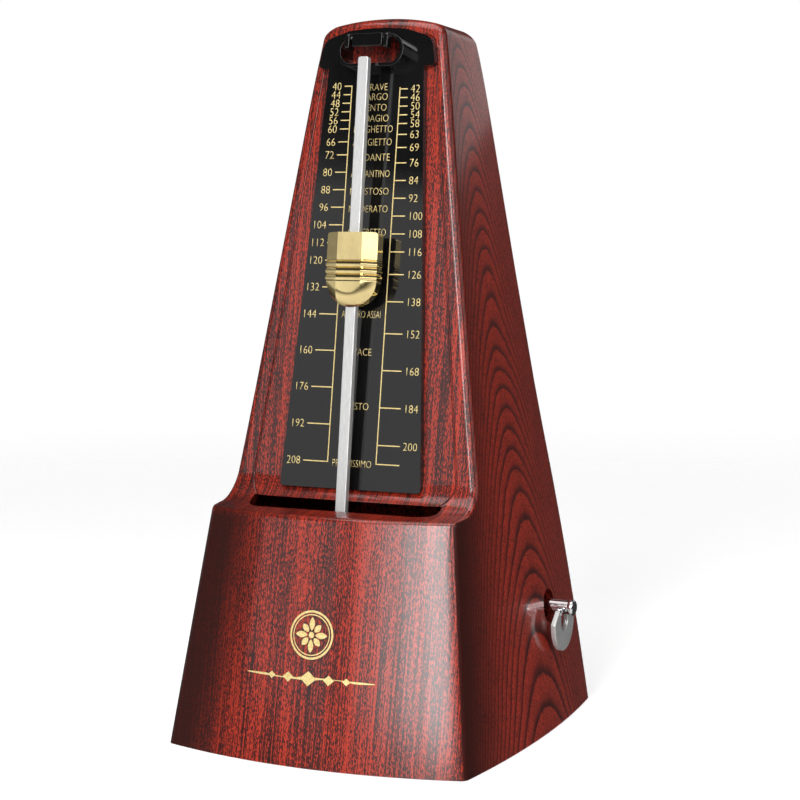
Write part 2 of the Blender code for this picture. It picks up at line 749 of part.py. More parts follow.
def head_outline():
    """Outline of the scale plate with its widened, arched head."""
    low_x, low_s = PLATE_BOTTOM
    neck_x, neck_s = PLATE_NECK
    right = [(low_x, low_s, 1.2), (neck_x, neck_s, 0.6), (HEAD_HALF_WIDTH, neck_s - 0.25, 1.4),
             (HEAD_HALF_WIDTH - 1.6, HEAD_TOP - 2.4, 4.4)]
    left = [(-x, s, radius) for x, s, radius in reversed(right)]
    return rounded_outline(right + [(0.0, HEAD_TOP + 0.9, 0.0)] + left, count=5)


def make_scale_plate(front):
    """Black scale plate with the oval collar on its head."""
    length, height = COLLAR_SIZE
    centre = COLLAR_CENTRE
    plate = flat_piece("scale_plate", [head_outline()], PLATE_THICKNESS, "black_plastic")
    place(plate, (0.0, 0.0, PLATE_FACE - PLATE_THICKNESS / 2), parent=front)
    reach = COLLAR_REACH + 1.0
    collar = flat_piece("collar", [oval(length, height, centre)], reach)
    place(collar, (0.0, 0.0, PLATE_FACE + COLLAR_REACH - reach / 2), parent=front)
    mouth = flat_piece("mouth", [oval(length - 2 * COLLAR_WALL, height - 2 * COLLAR_WALL, centre)], 30.0)
    place(mouth, parent=front)
    ears = []
    for i, side in enumerate((-1.0, 1.0)):
        ear = flat_piece(f"ear_{i}", [rounded_outline(CLIP_EAR)], CLIP_EAR_THICKNESS)
        spot = (centre[0] + side * CLIP_EAR_X, CLIP_PIN_S, PLATE_FACE + CLIP_PIN_OUT)
        ears.append(place(ear, spot, ALONG_X, parent=front))
    bpy.context.view_layer.update()
    join(plate, collar)
    cut(plate, mouth)
    join(plate, *ears)
    pin_hole = cylinder("clip_pin_hole", CLIP_BORE_RADIUS, -9.0, 9.0, steps=16)
    place(pin_hole, (centre[0], CLIP_PIN_S, PLATE_FACE + CLIP_PIN_OUT), SCREW_ALONG_X, parent=front)
    cut(plate, pin_hole)
    smooth(plate)
    return plate


def make_clip(front):
    """Clip that turns down over the rod's tip to park it, and its pin."""
    centre_x = COLLAR_CENTRE[0]
    pin = cylinder("clip_pin", CLIP_PIN_RADIUS, -CLIP_PIN_HALF_LENGTH, CLIP_PIN_HALF_LENGTH,
                   "arbor_steel", steps=12)
    place(pin, (centre_x, CLIP_PIN_S, PLATE_FACE + CLIP_PIN_OUT), SCREW_ALONG_X, parent=front)
    hinge = axis_empty("clip_axis", (centre_x, CLIP_PIN_S, PLATE_FACE + CLIP_PIN_OUT))
    hinge.parent = front
    width, height, thickness = CLIP_BLOCK
    outline = rounded_outline([(-1.0, -height + 1.2, 0.4), (thickness - 1.0, -height + 1.2, 0.4),
                               (thickness - 1.0, 1.2, 0.8), (-1.0, 1.2, 0.8)])
    clip = flat_piece("pendulum_clip", [outline], width, "black_plastic")
    place(clip, rotation=ALONG_X_IN_PLANE, parent=hinge)
    bore = cylinder("clip_bore", CLIP_BORE_RADIUS, -9.0, 9.0, steps=16)
    place(bore, rotation=SCREW_ALONG_X, parent=hinge)
    bpy.context.view_layer.update()
    cut(clip, bore)
    smooth(clip)
    return clip


def make_base():
    """Base plate, its rubber feet and the screws that go up through it."""
    outline = section(BASE_BOTTOM_Z, base_front(BASE_BOTTOM_Z), BASE_FRONT_BULGE, WALL + 0.5)
    plate = flat_piece("base_plate", [outline], BASE_TOP_Z - BASE_BOTTOM_Z, "black_plastic")
    place(plate, (0.0, 0.0, (BASE_TOP_Z + BASE_BOTTOM_Z) / 2))
    cutters = []
    for i, (x, y) in enumerate(CASE_SCREWS + FRAME_SCREWS):
        hole = turned_piece(f"base_hole_{i}", screw_profile(6.0, GAP), steps=12)
        cutters.append(place(hole, (x, y, BASE_BOTTOM_Z), POINT_DOWN))
    for i, (x, y) in enumerate(FEET):
        pocket = cylinder(f"pocket_{i}", FOOT_RADIUS + GAP, -0.5, FOOT_HEIGHT + GAP, steps=20)
        cutters.append(place(pocket, (x, y, 0.0)))
    cut(plate, *cutters)
    for i, (x, y) in enumerate(CASE_SCREWS):
        screw = turned_piece(f"case_screw_{i + 1}", screw_profile(CASE_SCREW_LENGTH), "arbor_steel", 12)
        place(screw, (x, y, BASE_BOTTOM_Z), POINT_DOWN)
    for i, (x, y) in enumerate(FRAME_SCREWS):
        screw = turned_piece(f"frame_screw_{i + 1}", screw_profile(FRAME_SCREW_LENGTH), "arbor_steel", 12)
        place(screw, (x, y, BASE_BOTTOM_Z), POINT_DOWN)
    for i, (x, y) in enumerate(FEET):
        foot = cylinder(f"foot_{i + 1}", FOOT_RADIUS, 0.0, FOOT_HEIGHT, "rubber", 20)
        place(foot, (x, y, 0.0))


# ---------------------------------------------------------------- the movement's frame
def make_frame_plate(name, side):
    """One upright plate of the movement, with a foot turned outwards."""
    plate = flat_piece(name, [rounded_outline(FRAME_OUTLINE)], FRAME_THICKNESS, "frame_steel")
    place(plate, (side * (FRAME_X + FRAME_THICKNESS / 2), 0.0, 0.0), ALONG_X)
    low_x = side * (FRAME_X + FRAME_THICKNESS / 2)
    high_x = side * (FRAME_X + FRAME_FLANGE + FRAME_THICKNESS / 2)
    flange_bottom = BASE_TOP_Z + GAP
    foot = box("frame_foot", (min(low_x, high_x), -21.5, flange_bottom),
               (max(low_x, high_x), 40.5, flange_bottom + FRAME_THICKNESS))
    join(plate, foot)
    cutters = []
    arbor_holes = ((WINDING_AXIS, 1.9 if side < 0 else 2.9), (CENTRE_AXIS, 1.2), (ESCAPE_AXIS, 1.2))
    for i, ((y, z), radius) in enumerate(arbor_holes):
        cutters.append(place(cylinder(f"arbor_hole_{i}", radius, -3.0, 3.0, steps=16),
                             (low_x, y, z), SCREW_ALONG_X))
    for i, (y, z) in enumerate(PILLARS):
        cutters.append(place(cylinder(f"pillar_hole_{i}", 1.5, -3.0, 3.0, steps=12),
                             (low_x, y, z), SCREW_ALONG_X))
    for (front, back), (low, high) in BRIDGES.values():
        cutters.append(box("bridge_slot", (low_x - 3.0, front - BRIDGE_FIT, low - BRIDGE_FIT),
                           (low_x + 3.0, back + BRIDGE_FIT, high + BRIDGE_FIT)))
    for i, (x, y) in enumerate(FRAME_SCREWS):
        if x * side > 0:
            cutters.append(place(cylinder(f"foot_hole_{i}", 1.5, 0.0, 8.0, steps=12), (x, y, 0.0)))
    cut(plate, *cutters)
    return plate


def make_frame():
    """Two plates, the pillars between them and the two bridges for the pendulum arbor."""
    make_frame_plate("frame_plate_left", -1.0)
    make_frame_plate("frame_plate_right", 1.0)
    inside = FRAME_X - 0.2
    outside = FRAME_X + FRAME_THICKNESS + 0.6
    for i, (y, z) in enumerate(PILLARS):
        profile = [(0.0, outside), (1.2, outside), (1.2, inside), (PILLAR_RADIUS, inside),
                   (PILLAR_RADIUS, -inside), (1.2, -inside), (1.2, -outside), (0.0, -outside)]
        pillar = turned_piece(f"pillar_{i + 1}", profile, "arbor_steel", 16)
        place(pillar, (0.0, y, z), SCREW_ALONG_X)
    tab = FRAME_X + FRAME_THICKNESS
    for name, ((front, back), (low, high)) in BRIDGES.items():
        bridge = box(name, (-tab, front, low), (tab, back, high), "frame_steel")
        hole = cylinder("bridge_hole", 1.55, -60.0, 60.0, steps=16)
        place(hole, PIVOT, (math.radians(-90.0) - ROD_LEAN, 0.0, 0.0))
        cut(bridge, hole)


def make_mainspring():
    """Spiral strip round the winding arbor, its outer end led to a pillar."""
    inner, outer = SPRING_RADII
    y, z = WINDING_AXIS
    pillar_y, pillar_z = PILLARS[2]
    end_angle = math.atan2(pillar_z - z, pillar_y - y)
    per_turn = 20
    count = SPRING_TURNS * per_turn
    start_angle = end_angle - math.radians(38.0) - math.tau * SPRING_TURNS
    middle = []
    for i in range(count + 1):
        share = i / count
        middle.append((lerp(inner, outer, share), start_angle + math.tau * SPRING_TURNS * share))
    anchor = math.hypot(pillar_y - y, pillar_z - z) - PILLAR_RADIUS - GAP - SPRING_THICKNESS
    for share in (0.35, 0.7, 1.0):
        middle.append((lerp(outer, anchor, share ** 1.5), lerp(middle[count][1], end_angle, share)))
    half = SPRING_THICKNESS / 2
    outer_side = [((r + half) * math.cos(a), (r + half) * math.sin(a)) for r, a in middle]
    inner_side = [((r - half) * math.cos(a), (r - half) * math.sin(a)) for r, a in middle]
    spring = flat_piece("mainspring", [outer_side + inner_side[::-1]], SPRING_X[1] - SPRING_X[0],
                        "spring_steel", 30.0)
    place(spring, (sum(SPRING_X) / 2, y, z), ALONG_X)


# ---------------------------------------------------------------- the wheels
def direction(start, end):
    """Angle from one axis to another in the plane of the wheels."""
    return math.atan2(end[1] - start[1], end[0] - start[0])


def wheel(name, loops, span, parent, finish="wheel_brass", angle=None):
    """A flat wheel across X between two x positions, under an empty on its axis."""
    made = flat_piece(name, loops, span[1] - span[0], finish, angle)
    return place(made, ((span[0] + span[1]) / 2, 0.0, 0.0), ALONG_X, parent)


def make_great_wheel():
    """Great wheel with the click that the ratchet wheel drives it by."""
    axis = axis_empty("great_axis", (0.0, *WINDING_AXIS))
    phase = direction(WINDING_AXIS, CENTRE_AXIS)
    rim = gear_outline(GREAT_TEETH, GREAT_MODULE, phase)
    pivot = (CLICK_RADIUS * math.cos(CLICK_ANGLE), CLICK_RADIUS * math.sin(CLICK_ANGLE))
    wheel("great_wheel", [rim, circle(2.9, 20), circle(0.9, 10, pivot)], GREAT_X, axis)
    make_click(axis, pivot)
    make_click_spring(axis)


def make_click(axis, pivot):
    """Click that drops into the ratchet wheel, and its pivot screw."""
    tip_angle = CLICK_ANGLE + CLICK_REACH
    valley = RATCHET_RADII[0] + 1.5
    tip = Vector((valley * math.cos(tip_angle), valley * math.sin(tip_angle)))
    heel = Vector(pivot)
    along = (tip - heel).normalized()
    across = Vector((-along.y, along.x))
    outline = [tip - across * 0.2, tip + across * 0.2, heel + across * 1.5,
               heel + across * 1.1 - along * 1.3, heel - across * 1.1 - along * 1.3,
               heel - across * 1.7]
    loops = [[tuple(spot) for spot in outline], circle(0.9, 10, pivot)]
    wheel("click", loops, RATCHET_X, axis, "arbor_steel")
    profile = [(0.0, 1.2), (1.5, 1.2), (1.5, 0.2), (0.62, 0.2), (0.62, -4.4), (0.0, -4.4)]
    screw = turned_piece("click_screw", profile, "arbor_steel", 16)
    place(screw, (RATCHET_X[1], *pivot), SCREW_ALONG_X, axis)


def make_click_spring(axis):
    """Wire spring that presses the click into the ratchet wheel."""
    wire = bpy.data.curves.new("click_spring", 'CURVE')
    wire.dimensions = '3D'
    wire.bevel_depth = 0.22 * MM
    wire.bevel_resolution = 2
    wire.use_fill_caps = True
    spline = wire.splines.new('POLY')
    start = CLICK_ANGLE - math.radians(50.0)
    end = CLICK_ANGLE - math.radians(8.0)
    stops = []
    for i in range(9):
        share = i / 8
        angle = lerp(start, end, share)
        radius = lerp(13.0, 15.4, math.sin(share * math.pi / 2))
        stops.append((sum(RATCHET_X) / 2, radius * math.cos(angle), radius * math.sin(angle)))
    spline.points.add(len(stops) - 1)
    for point, (x, y, z) in zip(spline.points, stops):
        point.co = (x * MM, y * MM, z * MM, 1.0)
    wire.materials.append(material("spring_steel"))
    spring = bpy.data.objects.new("click_spring", wire)
    PARTS.objects.link(spring)
    place(spring, parent=axis)


def make_winding():
    """Winding arbor with its ratchet wheel, and the key shaft screwed on its end."""
    axis = axis_empty("winding_axis", (0.0, *WINDING_AXIS))
    phase = CLICK_ANGLE + CLICK_REACH - 0.1
    loops = [saw_outline(RATCHET_TEETH, *RATCHET_RADII, phase, 0.75), circle(2.8, 20)]
    wheel("ratchet_wheel", loops, RATCHET_X, axis, "arbor_steel")
    profile = [(0.0, 30.0), (1.2, 30.0), (1.2, 23.4), (2.5, 23.4), (2.5, -19.6), (1.6, -19.6),
               (1.6, -23.0), (0.0, -23.0)]
    arbor = turned_piece("winding_arbor", profile, "arbor_steel")
    place(arbor, rotation=SCREW_ALONG_X, parent=axis)
    make_key_shaft(axis)


def make_key_shaft(axis):
    """Key shaft with its rounded tip, and the cross pin that its wing turns on."""
    end = KEY_TIP_X
    start, socket_end = KEY_SOCKET
    profile = [(0.0, end), (1.5, end), (KEY_TIP_RADIUS - 0.15, end - 0.5), (KEY_TIP_RADIUS, end - 1.1),
               (KEY_TIP_RADIUS - 0.15, end - 1.7), (KEY_SHAFT_RADIUS, end - 2.0),
               (KEY_SHAFT_RADIUS, start), (1.5, start), (1.5, socket_end), (0.0, socket_end)]
    shaft = turned_piece("key_shaft", profile, "chrome", 28)
    place(shaft, rotation=SCREW_ALONG_X, parent=axis)
    spot = (WING_PIN_X, 0.0, -WING_PIN_DROP)
    pin_hole = cylinder("pin_hole", KEY_PIN_RADIUS + GAP / 2, -4.0, 4.0, steps=12)
    place(pin_hole, spot, SCREW_ALONG_Y, axis)
    bpy.context.view_layer.update()
    cut(shaft, pin_hole)
    smooth(shaft)
    pin = cylinder("key_pin", KEY_PIN_RADIUS, -4.5, 4.5, "chrome", 12)
    place(pin, spot, SCREW_ALONG_Y, axis)


def make_key_wing():
    """Folding half-moon wing of the key, hanging from its pin."""
    axis = axis_empty("wing_axis", (WING_PIN_X, WINDING_AXIS[0], WINDING_AXIS[1] - WING_PIN_DROP))
    bowl = []
    for i in range(17):
        angle = math.radians(lerp(180.0, 360.0, i / 16))
        bowl.append((WING_HALF_WIDTH * math.cos(angle),
                     (WING_REACH - WING_SHOULDER) * math.sin(angle) - WING_SHOULDER))
    slot = WING_SLOT_HALF_WIDTH
    arm = WING_ARM_HALF_WIDTH
    top = KNUCKLE_RADIUS - 0.4
    outline = [(-arm, top)] + bowl + [(arm, top), (slot, top)]
    outline += arc((0.0, -WING_SLOT_REACH), slot, 360.0, 180.0, 9) + [(-slot, top)]
    wing = flat_piece("key_wing", [outline], WING_THICKNESS, "chrome")
    place(wing, rotation=ALONG_X, parent=axis)
    bpy.context.view_layer.update()
    for side in (-1.0, 1.0):
        knuckle = cylinder("knuckle", KNUCKLE_RADIUS, slot, arm, steps=20)
        place(knuckle, rotation=(math.radians(-90.0 * side), 0.0, 0.0), parent=axis)
        bpy.context.view_layer.update()
        join(wing, knuckle)
    bore = cylinder("knuckle_bore", KNUCKLE_BORE_RADIUS, -6.0, 6.0, steps=16)
    place(bore, rotation=SCREW_ALONG_Y, parent=axis)
    bpy.context.view_layer.update()
    cut(wing, bore)
    smooth(wing)


def arbor_profile(radius, pivot_radius):
    """Plain arbor with a thinner pivot at each end, through both frame plates."""
    shoulder = FRAME_X - 0.4
    end = FRAME_X + FRAME_THICKNESS + 0.5
    return [(0.0, end), (pivot_radius, end), (pivot_radius, shoulder), (radius, shoulder),
            (radius, -shoulder), (pivot_radius, -shoulder), (pivot_radius, -end), (0.0, -end)]


def make_centre_wheel():
    """Centre arbor with the pinion the great wheel drives and the centre wheel."""
    axis = axis_empty("centre_axis", (0.0, *CENTRE_AXIS))
    arbor = turned_piece("centre_arbor", arbor_profile(1.2, 0.85), "arbor_steel", 16)
    place(arbor, rotation=SCREW_ALONG_X, parent=axis)
    to_great = direction(CENTRE_AXIS, WINDING_AXIS)
    phase = to_great + math.pi / CENTRE_PINION_TEETH
    loops = [gear_outline(CENTRE_PINION_TEETH, GREAT_MODULE, phase, 0.15), circle(1.45, 14)]
    wheel("centre_pinion", loops, CENTRE_PINION_X, axis, "arbor_steel")
    phase = direction(CENTRE_AXIS, ESCAPE_AXIS)
    loops = [gear_outline(CENTRE_TEETH, CENTRE_MODULE, phase), circle(1.45, 14)]
    wheel("centre_wheel", loops + spoke_holes(3.6, 9.4, 5, 1.8), CENTRE_WHEEL_X, axis)


def make_escape_wheel():
    """Escape arbor with its pinion and the toothed wheel under the pallets."""
    axis = axis_empty("escape_axis", (0.0, *ESCAPE_AXIS))
    arbor = turned_piece("escape_arbor", arbor_profile(1.1, 0.8), "arbor_steel", 16)
    place(arbor, rotation=SCREW_ALONG_X, parent=axis)
    to_centre = direction(ESCAPE_AXIS, CENTRE_AXIS)
    phase = to_centre + math.pi / ESCAPE_PINION_TEETH
    loops = [gear_outline(ESCAPE_PINION_TEETH, CENTRE_MODULE, phase, 0.15), circle(1.3, 12)]
    wheel("escape_pinion", loops, ESCAPE_PINION_X, axis, "arbor_steel")
    loops = [saw_outline(ESCAPE_TEETH, ESCAPE_RADIUS - 1.8, ESCAPE_RADIUS, 0.0, 0.55), circle(1.3, 12)]
    wheel("escape_wheel", loops + spoke_holes(3.2, 8.2, 4, 1.6), ESCAPE_WHEEL_X, axis)


# ---------------------------------------------------------------- the pendulum
def make_pendulum():
    """Pendulum: rod, hub, arbor, pallets and counterweight, built upright about its pivot."""
    axis = axis_empty("pendulum_axis", PIVOT, (-ROD_LEAN, 0.0, 0.0))
    half = ROD_WIDTH / 2
    outline = rounded_outline([(-half, ROD_BOTTOM, 0.3), (half, ROD_BOTTOM, 0.3),
                               (half, ROD_TOP, 0.6), (-half, ROD_TOP, 0.6)])
    rod = flat_piece("pendulum_rod", [outline], ROD_THICKNESS, "rod_steel")
    place(rod, rotation=ALONG_Y, parent=axis)
    make_hub(axis)
    start, end = PENDULUM_ARBOR_SPAN
    radius = PENDULUM_ARBOR_RADIUS
    profile = [(0.0, end), (radius, end), (radius, start), (0.0, start)]
    arbor = turned_piece("pendulum_arbor", profile, "arbor_steel", 16)
    place(arbor, rotation=SCREW_ALONG_Y, parent=axis)
    for name, along, side in zip(("front_pallet", "rear_pallet"), PALLET_PLACES, (-1.0, 1.0)):
        make_pallet(name, along, side, axis)
    make_counterweight(axis)


def make_hub(axis):
    """Hub that grips the rod on its arbor, and its screw."""
    hub = cylinder("rod_hub", HUB_RADIUS, *HUB_SPAN, "wheel_brass", 28)
    place(hub, rotation=SCREW_ALONG_Y, parent=axis)
    channel = box("hub_channel", (-CHANNEL_HALF_WIDTH, -4.0, -10.0),
                  (CHANNEL_HALF_WIDTH, CHANNEL_HALF_DEPTH, 10.0))
    place(channel, parent=axis)
    bore = cylinder("hub_bore", 1.5, 2.2, 9.0, steps=16)
    place(bore, rotation=SCREW_ALONG_Y, parent=axis)
    tapped = cylinder("hub_tapped", 1.45, 1.0, 8.0, steps=16)
    place(tapped, rotation=SCREW_ALONG_X, parent=axis)
    bpy.context.view_layer.update()
    cut(hub, channel, bore, tapped)
    profile = [(0.0, 7.6), (2.0, 7.6), (2.0, 6.3), (1.15, 6.3), (1.15, 2.1), (0.0, 2.1)]
    screw = turned_piece("hub_screw", profile, "arbor_steel", 16)
    place(screw, rotation=SCREW_ALONG_X, parent=axis)


def make_pallet(name, along, side, axis):
    """Small ring with an arm that reaches down beside the escape wheel."""
    loops = [circle(PALLET_RADIUS, 24), circle(PENDULUM_ARBOR_RADIUS + GAP, 16)]
    pallet = flat_piece(name, loops, 1.6, "arbor_steel")
    place(pallet, (0.0, along, 0.0), ALONG_Y, axis)
    arm = box("arm", (-0.8, -0.6, -7.4), (0.8, 0.6, -2.2))
    place(arm, (0.0, along, 0.0), (0.0, side * math.radians(-45.0), 0.0), axis)
    bpy.context.view_layer.update()
    join(pallet, arm)


def make_counterweight(axis):
    """Heavy sector low in the case that keeps the pendulum's balance below its pivot."""
    inner, outer = COUNTERWEIGHT_RADII
    spread = math.degrees(COUNTERWEIGHT_HALF_ANGLE)
    outline = arc((0.0, 0.0), outer, 270.0 - spread, 270.0 + spread, 15)
    outline += arc((0.0, 0.0), inner, 270.0 + spread, 270.0 - spread, 9)
    front, back = COUNTERWEIGHT_SPAN
    body = flat_piece("counterweight", [outline], back - front, "cast_iron", 30.0)
    place(body, (0.0, (front + back) / 2, 0.0), ALONG_Y, axis)
    channel = box("weight_channel", (-CHANNEL_HALF_WIDTH, -CHANNEL_HALF_DEPTH, -60.0),
                  (CHANNEL_HALF_WIDTH, CHANNEL_HALF_DEPTH, -10.0))
    place(channel, parent=axis)
    tapped = cylinder("weight_tapped", 2.0, front - 1.0, 0.0, steps=16)
    place(tapped, (0.0, 0.0, COUNTERWEIGHT_SCREW_Z), SCREW_ALONG_Y, axis)
    bpy.context.view_layer.update()
    cut(body, channel, tapped)
    profile = [(0.0, -1.6), (1.7, -1.6), (1.7, front - 0.3), (0.0, front - 0.3)]
    screw = turned_piece("counterweight_screw", profile, "arbor_steel", 16)
    place(screw, (0.0, 0.0, COUNTERWEIGHT_SCREW_Z), SCREW_ALONG_Y, axis)


def make_sliding_weight():
    """Gilt weight that slides on the rod, with the leaf spring that grips it."""
    tilt = (-ROD_LEAN, 0.0, 0.0)
    up_rod = Matrix.Rotation(-ROD_LEAN, 3, 'X') @ Vector((0.0, 0.0, WEIGHT_CENTRE))
    axis = axis_empty("weight_axis", PIVOT + up_rod, tilt)
    half = WEIGHT_WIDTH / 2
    top = WEIGHT_HEIGHT / 2
    round_z = -top + half
    corner = WEIGHT_CORNER
    outline = [(half, round_z), (half, top - corner), (half - corner, top),
               (-half + corner, top), (-half, top - corner)]
    outline += arc((0.0, round_z), half, 180.0, 360.0, 21)[:-1]
    weight = flat_piece("sliding_weight", [outline], WEIGHT_BACK - WEIGHT_FRONT, "polished_brass")
    place(weight, (0.0, (WEIGHT_FRONT + WEIGHT_BACK) / 2, 0.0), ALONG_Y, axis)
    bpy.context.view_layer.update()
    for side in (-1.0, 1.0):
        bevel = box("bevel", (0.0, -12.0, -20.0), (24.0, 0.0, 20.0))
        if side < 0:
            bevel.data.transform(Matrix.Scale(-1.0, 4, (1.0, 0.0, 0.0)))
            bevel.data.flip_normals()
        spot = (side * WEIGHT_FLAT_WIDTH / 2, WEIGHT_FRONT, 0.0)
        place(bevel, spot, (0.0, 0.0, side * WEIGHT_BEVEL), axis)
        bpy.context.view_layer.update()
        cut(weight, bevel)
    channel = box("rod_channel", (-CHANNEL_HALF_WIDTH, -CHANNEL_HALF_DEPTH, -20.0),
                  (CHANNEL_HALF_WIDTH, 8.0, 20.0))
    place(channel, parent=axis)
    bpy.context.view_layer.update()
    cut(weight, channel)
    for i in range(GRIP_GROOVES):
        z = GRIP_GROOVE_TOP - GRIP_GROOVE_PITCH * i
        size = GRIP_GROOVE_SIZE
        groove = box("groove", (-12.0, WEIGHT_FRONT - 4.0, z - size), (12.0, WEIGHT_FRONT + size, z + size))
        place(groove, parent=axis)
        bpy.context.view_layer.update()
        cut(weight, groove)
    smooth(weight)
    make_weight_spring(axis)


def make_weight_spring(axis):
    """Bowed leaf between the weight and the rod."""
    front = []
    for i in range(9):
        share = i / 8
        y = CHANNEL_HALF_DEPTH + 0.2 + LEAF_BOW * (1 - math.sin(math.pi * share))
        front.append((y, lerp(-LEAF_HALF_LENGTH, LEAF_HALF_LENGTH, share)))
    back = [(y + LEAF_THICKNESS, z) for y, z in reversed(front)]
    spring = flat_piece("weight_spring", [front + back], LEAF_WIDTH, "spring_steel")
    place(spring, rotation=ALONG_X, parent=axis)


front_plane = rail_plane()
bpy.context.view_layer.update()
make_case(front_plane)
make_front_panel(front_plane)
make_scale_plate(front_plane)
make_clip(front_plane)
make_base()
make_frame()
make_mainspring()
make_great_wheel()
make_winding()
make_key_wing()
make_centre_wheel()
make_escape_wheel()
make_pendulum()
make_sliding_weight()
bpy.context.view_layer.update()
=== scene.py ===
"""Looks of the wind-up metronome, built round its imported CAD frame.

The case, front panel, scale plate, clip, rod, sliding weight and key are rebuilt here
with fine surfaces; every other piece keeps its CAD mesh and gets a worked finish.
Lengths are in millimetres and the helpers turn them into metres.
"""

import json
import math

import bmesh
import bpy
from mathutils import Matrix, Vector
from mathutils.bvhtree import BVHTree


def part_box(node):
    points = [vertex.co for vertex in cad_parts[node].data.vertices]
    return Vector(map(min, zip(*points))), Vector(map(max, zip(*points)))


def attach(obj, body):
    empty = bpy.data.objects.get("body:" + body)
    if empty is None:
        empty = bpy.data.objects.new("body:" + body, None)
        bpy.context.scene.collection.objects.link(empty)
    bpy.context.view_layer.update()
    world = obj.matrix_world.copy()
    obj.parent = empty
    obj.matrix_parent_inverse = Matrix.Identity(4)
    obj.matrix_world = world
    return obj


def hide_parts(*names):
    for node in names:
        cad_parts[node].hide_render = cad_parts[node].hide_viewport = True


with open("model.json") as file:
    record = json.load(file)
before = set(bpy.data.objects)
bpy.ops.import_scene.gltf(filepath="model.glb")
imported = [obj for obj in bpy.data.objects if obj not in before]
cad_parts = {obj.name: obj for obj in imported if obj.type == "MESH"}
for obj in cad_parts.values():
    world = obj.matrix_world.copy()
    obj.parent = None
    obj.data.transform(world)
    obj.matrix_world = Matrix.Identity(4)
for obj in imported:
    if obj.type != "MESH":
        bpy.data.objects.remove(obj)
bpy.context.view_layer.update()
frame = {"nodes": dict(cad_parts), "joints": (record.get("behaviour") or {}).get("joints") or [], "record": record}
NODES = frame["nodes"]
JOINTS = {joint["name"]: joint for joint in frame["joints"]}
SLOTS = {part["node"]: part["material_slot"] for part in frame["record"]["subparts"]}
MM = 0.001

# ---------------------------------------------------------------- driving dimensions
HEIGHT = 217.0
RIM_Z = 0.2
WALL = 2.4
SHOULDER_Z = 70.9
TAPER_Z = 220.0
BASE_HALF_WIDTH = 48.2
SHOULDER_HALF_WIDTH = 39.75
TOP_FRONT_HALF_WIDTH = 18.7
TOP_BACK_HALF_WIDTH = 19.55
LOWER_FULLNESS = 0.9
LOWER_FULLNESS_TOP = 100.0
SIDE_BULGE = 3.5
BASE_FRONT_Y = -49.9
SHOULDER_FRONT_Y = -37.9
BASE_FRONT_BULGE = 7.6
SHOULDER_FRONT_BULGE = 6.1
BACK_Y = 57.1
BACK_TOP_Y = 24.6
CORNER_RADIUS = 2.4
BACK_CORNER_RADIUS = 4.5
RAIL_Y = -34.5
RAIL_SLOPE = 0.155
RAIL_TILT = math.atan(RAIL_SLOPE)
LEDGE_EDGE_RADIUS = 1.4
LEDGE_FILLET = 9.0
LEDGE_RISE = 0.4
ARCH_DROP = 2.5
BACK_DROP = 1.0
ARCH_START_Z = 190.0
TOP_EDGE_RADIUS = 3.6
TOP_BACK_EDGE_RADIUS = 4.6

SLOT_HALF_LENGTH = 31.0
SLOT_FRONT_Y = -35.2
SLOT_CORNER_RADIUS = 7.0
SLOT_TOP_Z = 73.4
SLOT_BEHIND_RAILS = 4.0
SLOT_CUT_HEIGHT = 10.0
SEAM_LOW = (34.5, 0.6)          # front panel outline: half width, distance up the slope
SEAM_HIGH = (17.5, 142.0)
PANEL_CORNER_RADIUS = 8.0
PANEL_TOP_RADIUS = 3.0
SEAM_GAP = 0.12
SEAM_GROOVE = 0.42              # radius of the rounded groove along the seam
SEAM_DEPTH = 16.0               # of the prisms that part the panel from the case
CASE_SMOOTH_ANGLE = 32.0
BOSS_RADII = (1.5, 3.5)         # screw bosses inside the case: bore and outside
BOSS_SPAN = (3.0, 14.0)         # and their ends in height

PLATE_FACE = 2.6                # scale plate's face in front of the rails' plane
PLATE_THICKNESS = 2.3
PLATE_BOTTOM = (23.2, 5.3)
PLATE_NECK = (15.7, 132.4)
HEAD_HALF_WIDTH = 19.4
HEAD_TOP = 143.2
COLLAR_CENTRE = (0.4, 136.1)
COLLAR_SIZE = (21.7, 9.8)
COLLAR_WALL = 1.0
COLLAR_REACH = 5.6
CLIP_BLOCK = (9.9, 3.9, 2.0)    # width, height, thickness
CLIP_ABOVE = 1.2                # top of the block over its pin
CLIP_OUT = 0.05                 # middle of the block in front of its pin
CLIP_EAR_X = 6.3
CLIP_EAR_HALF_WIDTH = 1.5
CLIP_EAR_SPAN = (-3.2, 1.4)     # below and above the pin
CLIP_EAR_THICKNESS = 1.4
CROWN_HALF_WIDTH = 13.0         # arched top of the scale plate
CROWN_RISE = 0.9
CROWN_DROP = 1.15               # from the arch's middle to its ends

PIVOT = Vector(JOINTS["pendulum_swing"]["pos_m"]) / MM
ROD_AXIS = Vector(JOINTS["weight_slide"]["axis"])
ROD_LEAN = math.atan2(ROD_AXIS.y, ROD_AXIS.z)
ROD_SIZE = (3.4, 2.2)           # width, thickness
ROD_ENDS = (-42.6, 157.6)       # along the rod from the pivot
WEIGHT_CENTRE = 94.2            # along the rod from the pivot
WEIGHT_WIDTH = 16.5
WEIGHT_HEIGHT = 22.0
WEIGHT_FRONT = -3.75            # across the rod, from its middle plane
WEIGHT_BACK = 1.9               # 0.7 less than the CAD weight's, to clear the panel built here
WEIGHT_FLAT = 4.0               # half width of the front face between its bevels
WEIGHT_BEVEL = math.radians(25.0)
WEIGHT_CORNER = 0.9             # radius of its upper corners
WEIGHT_FALL = 2.3               # how far its rounded bottom falls back at the edge
WEIGHT_FALL_SHARE = 0.62        # of the half width, over which it does
RIDGE_SPAN = (-3.6, 3.4)        # heights between which the rows are close together
RIDGE_ROWS = 84
RIDGE_COUNT = 3
RIDGE_TOP = 2.55
RIDGE_PITCH = 2.0
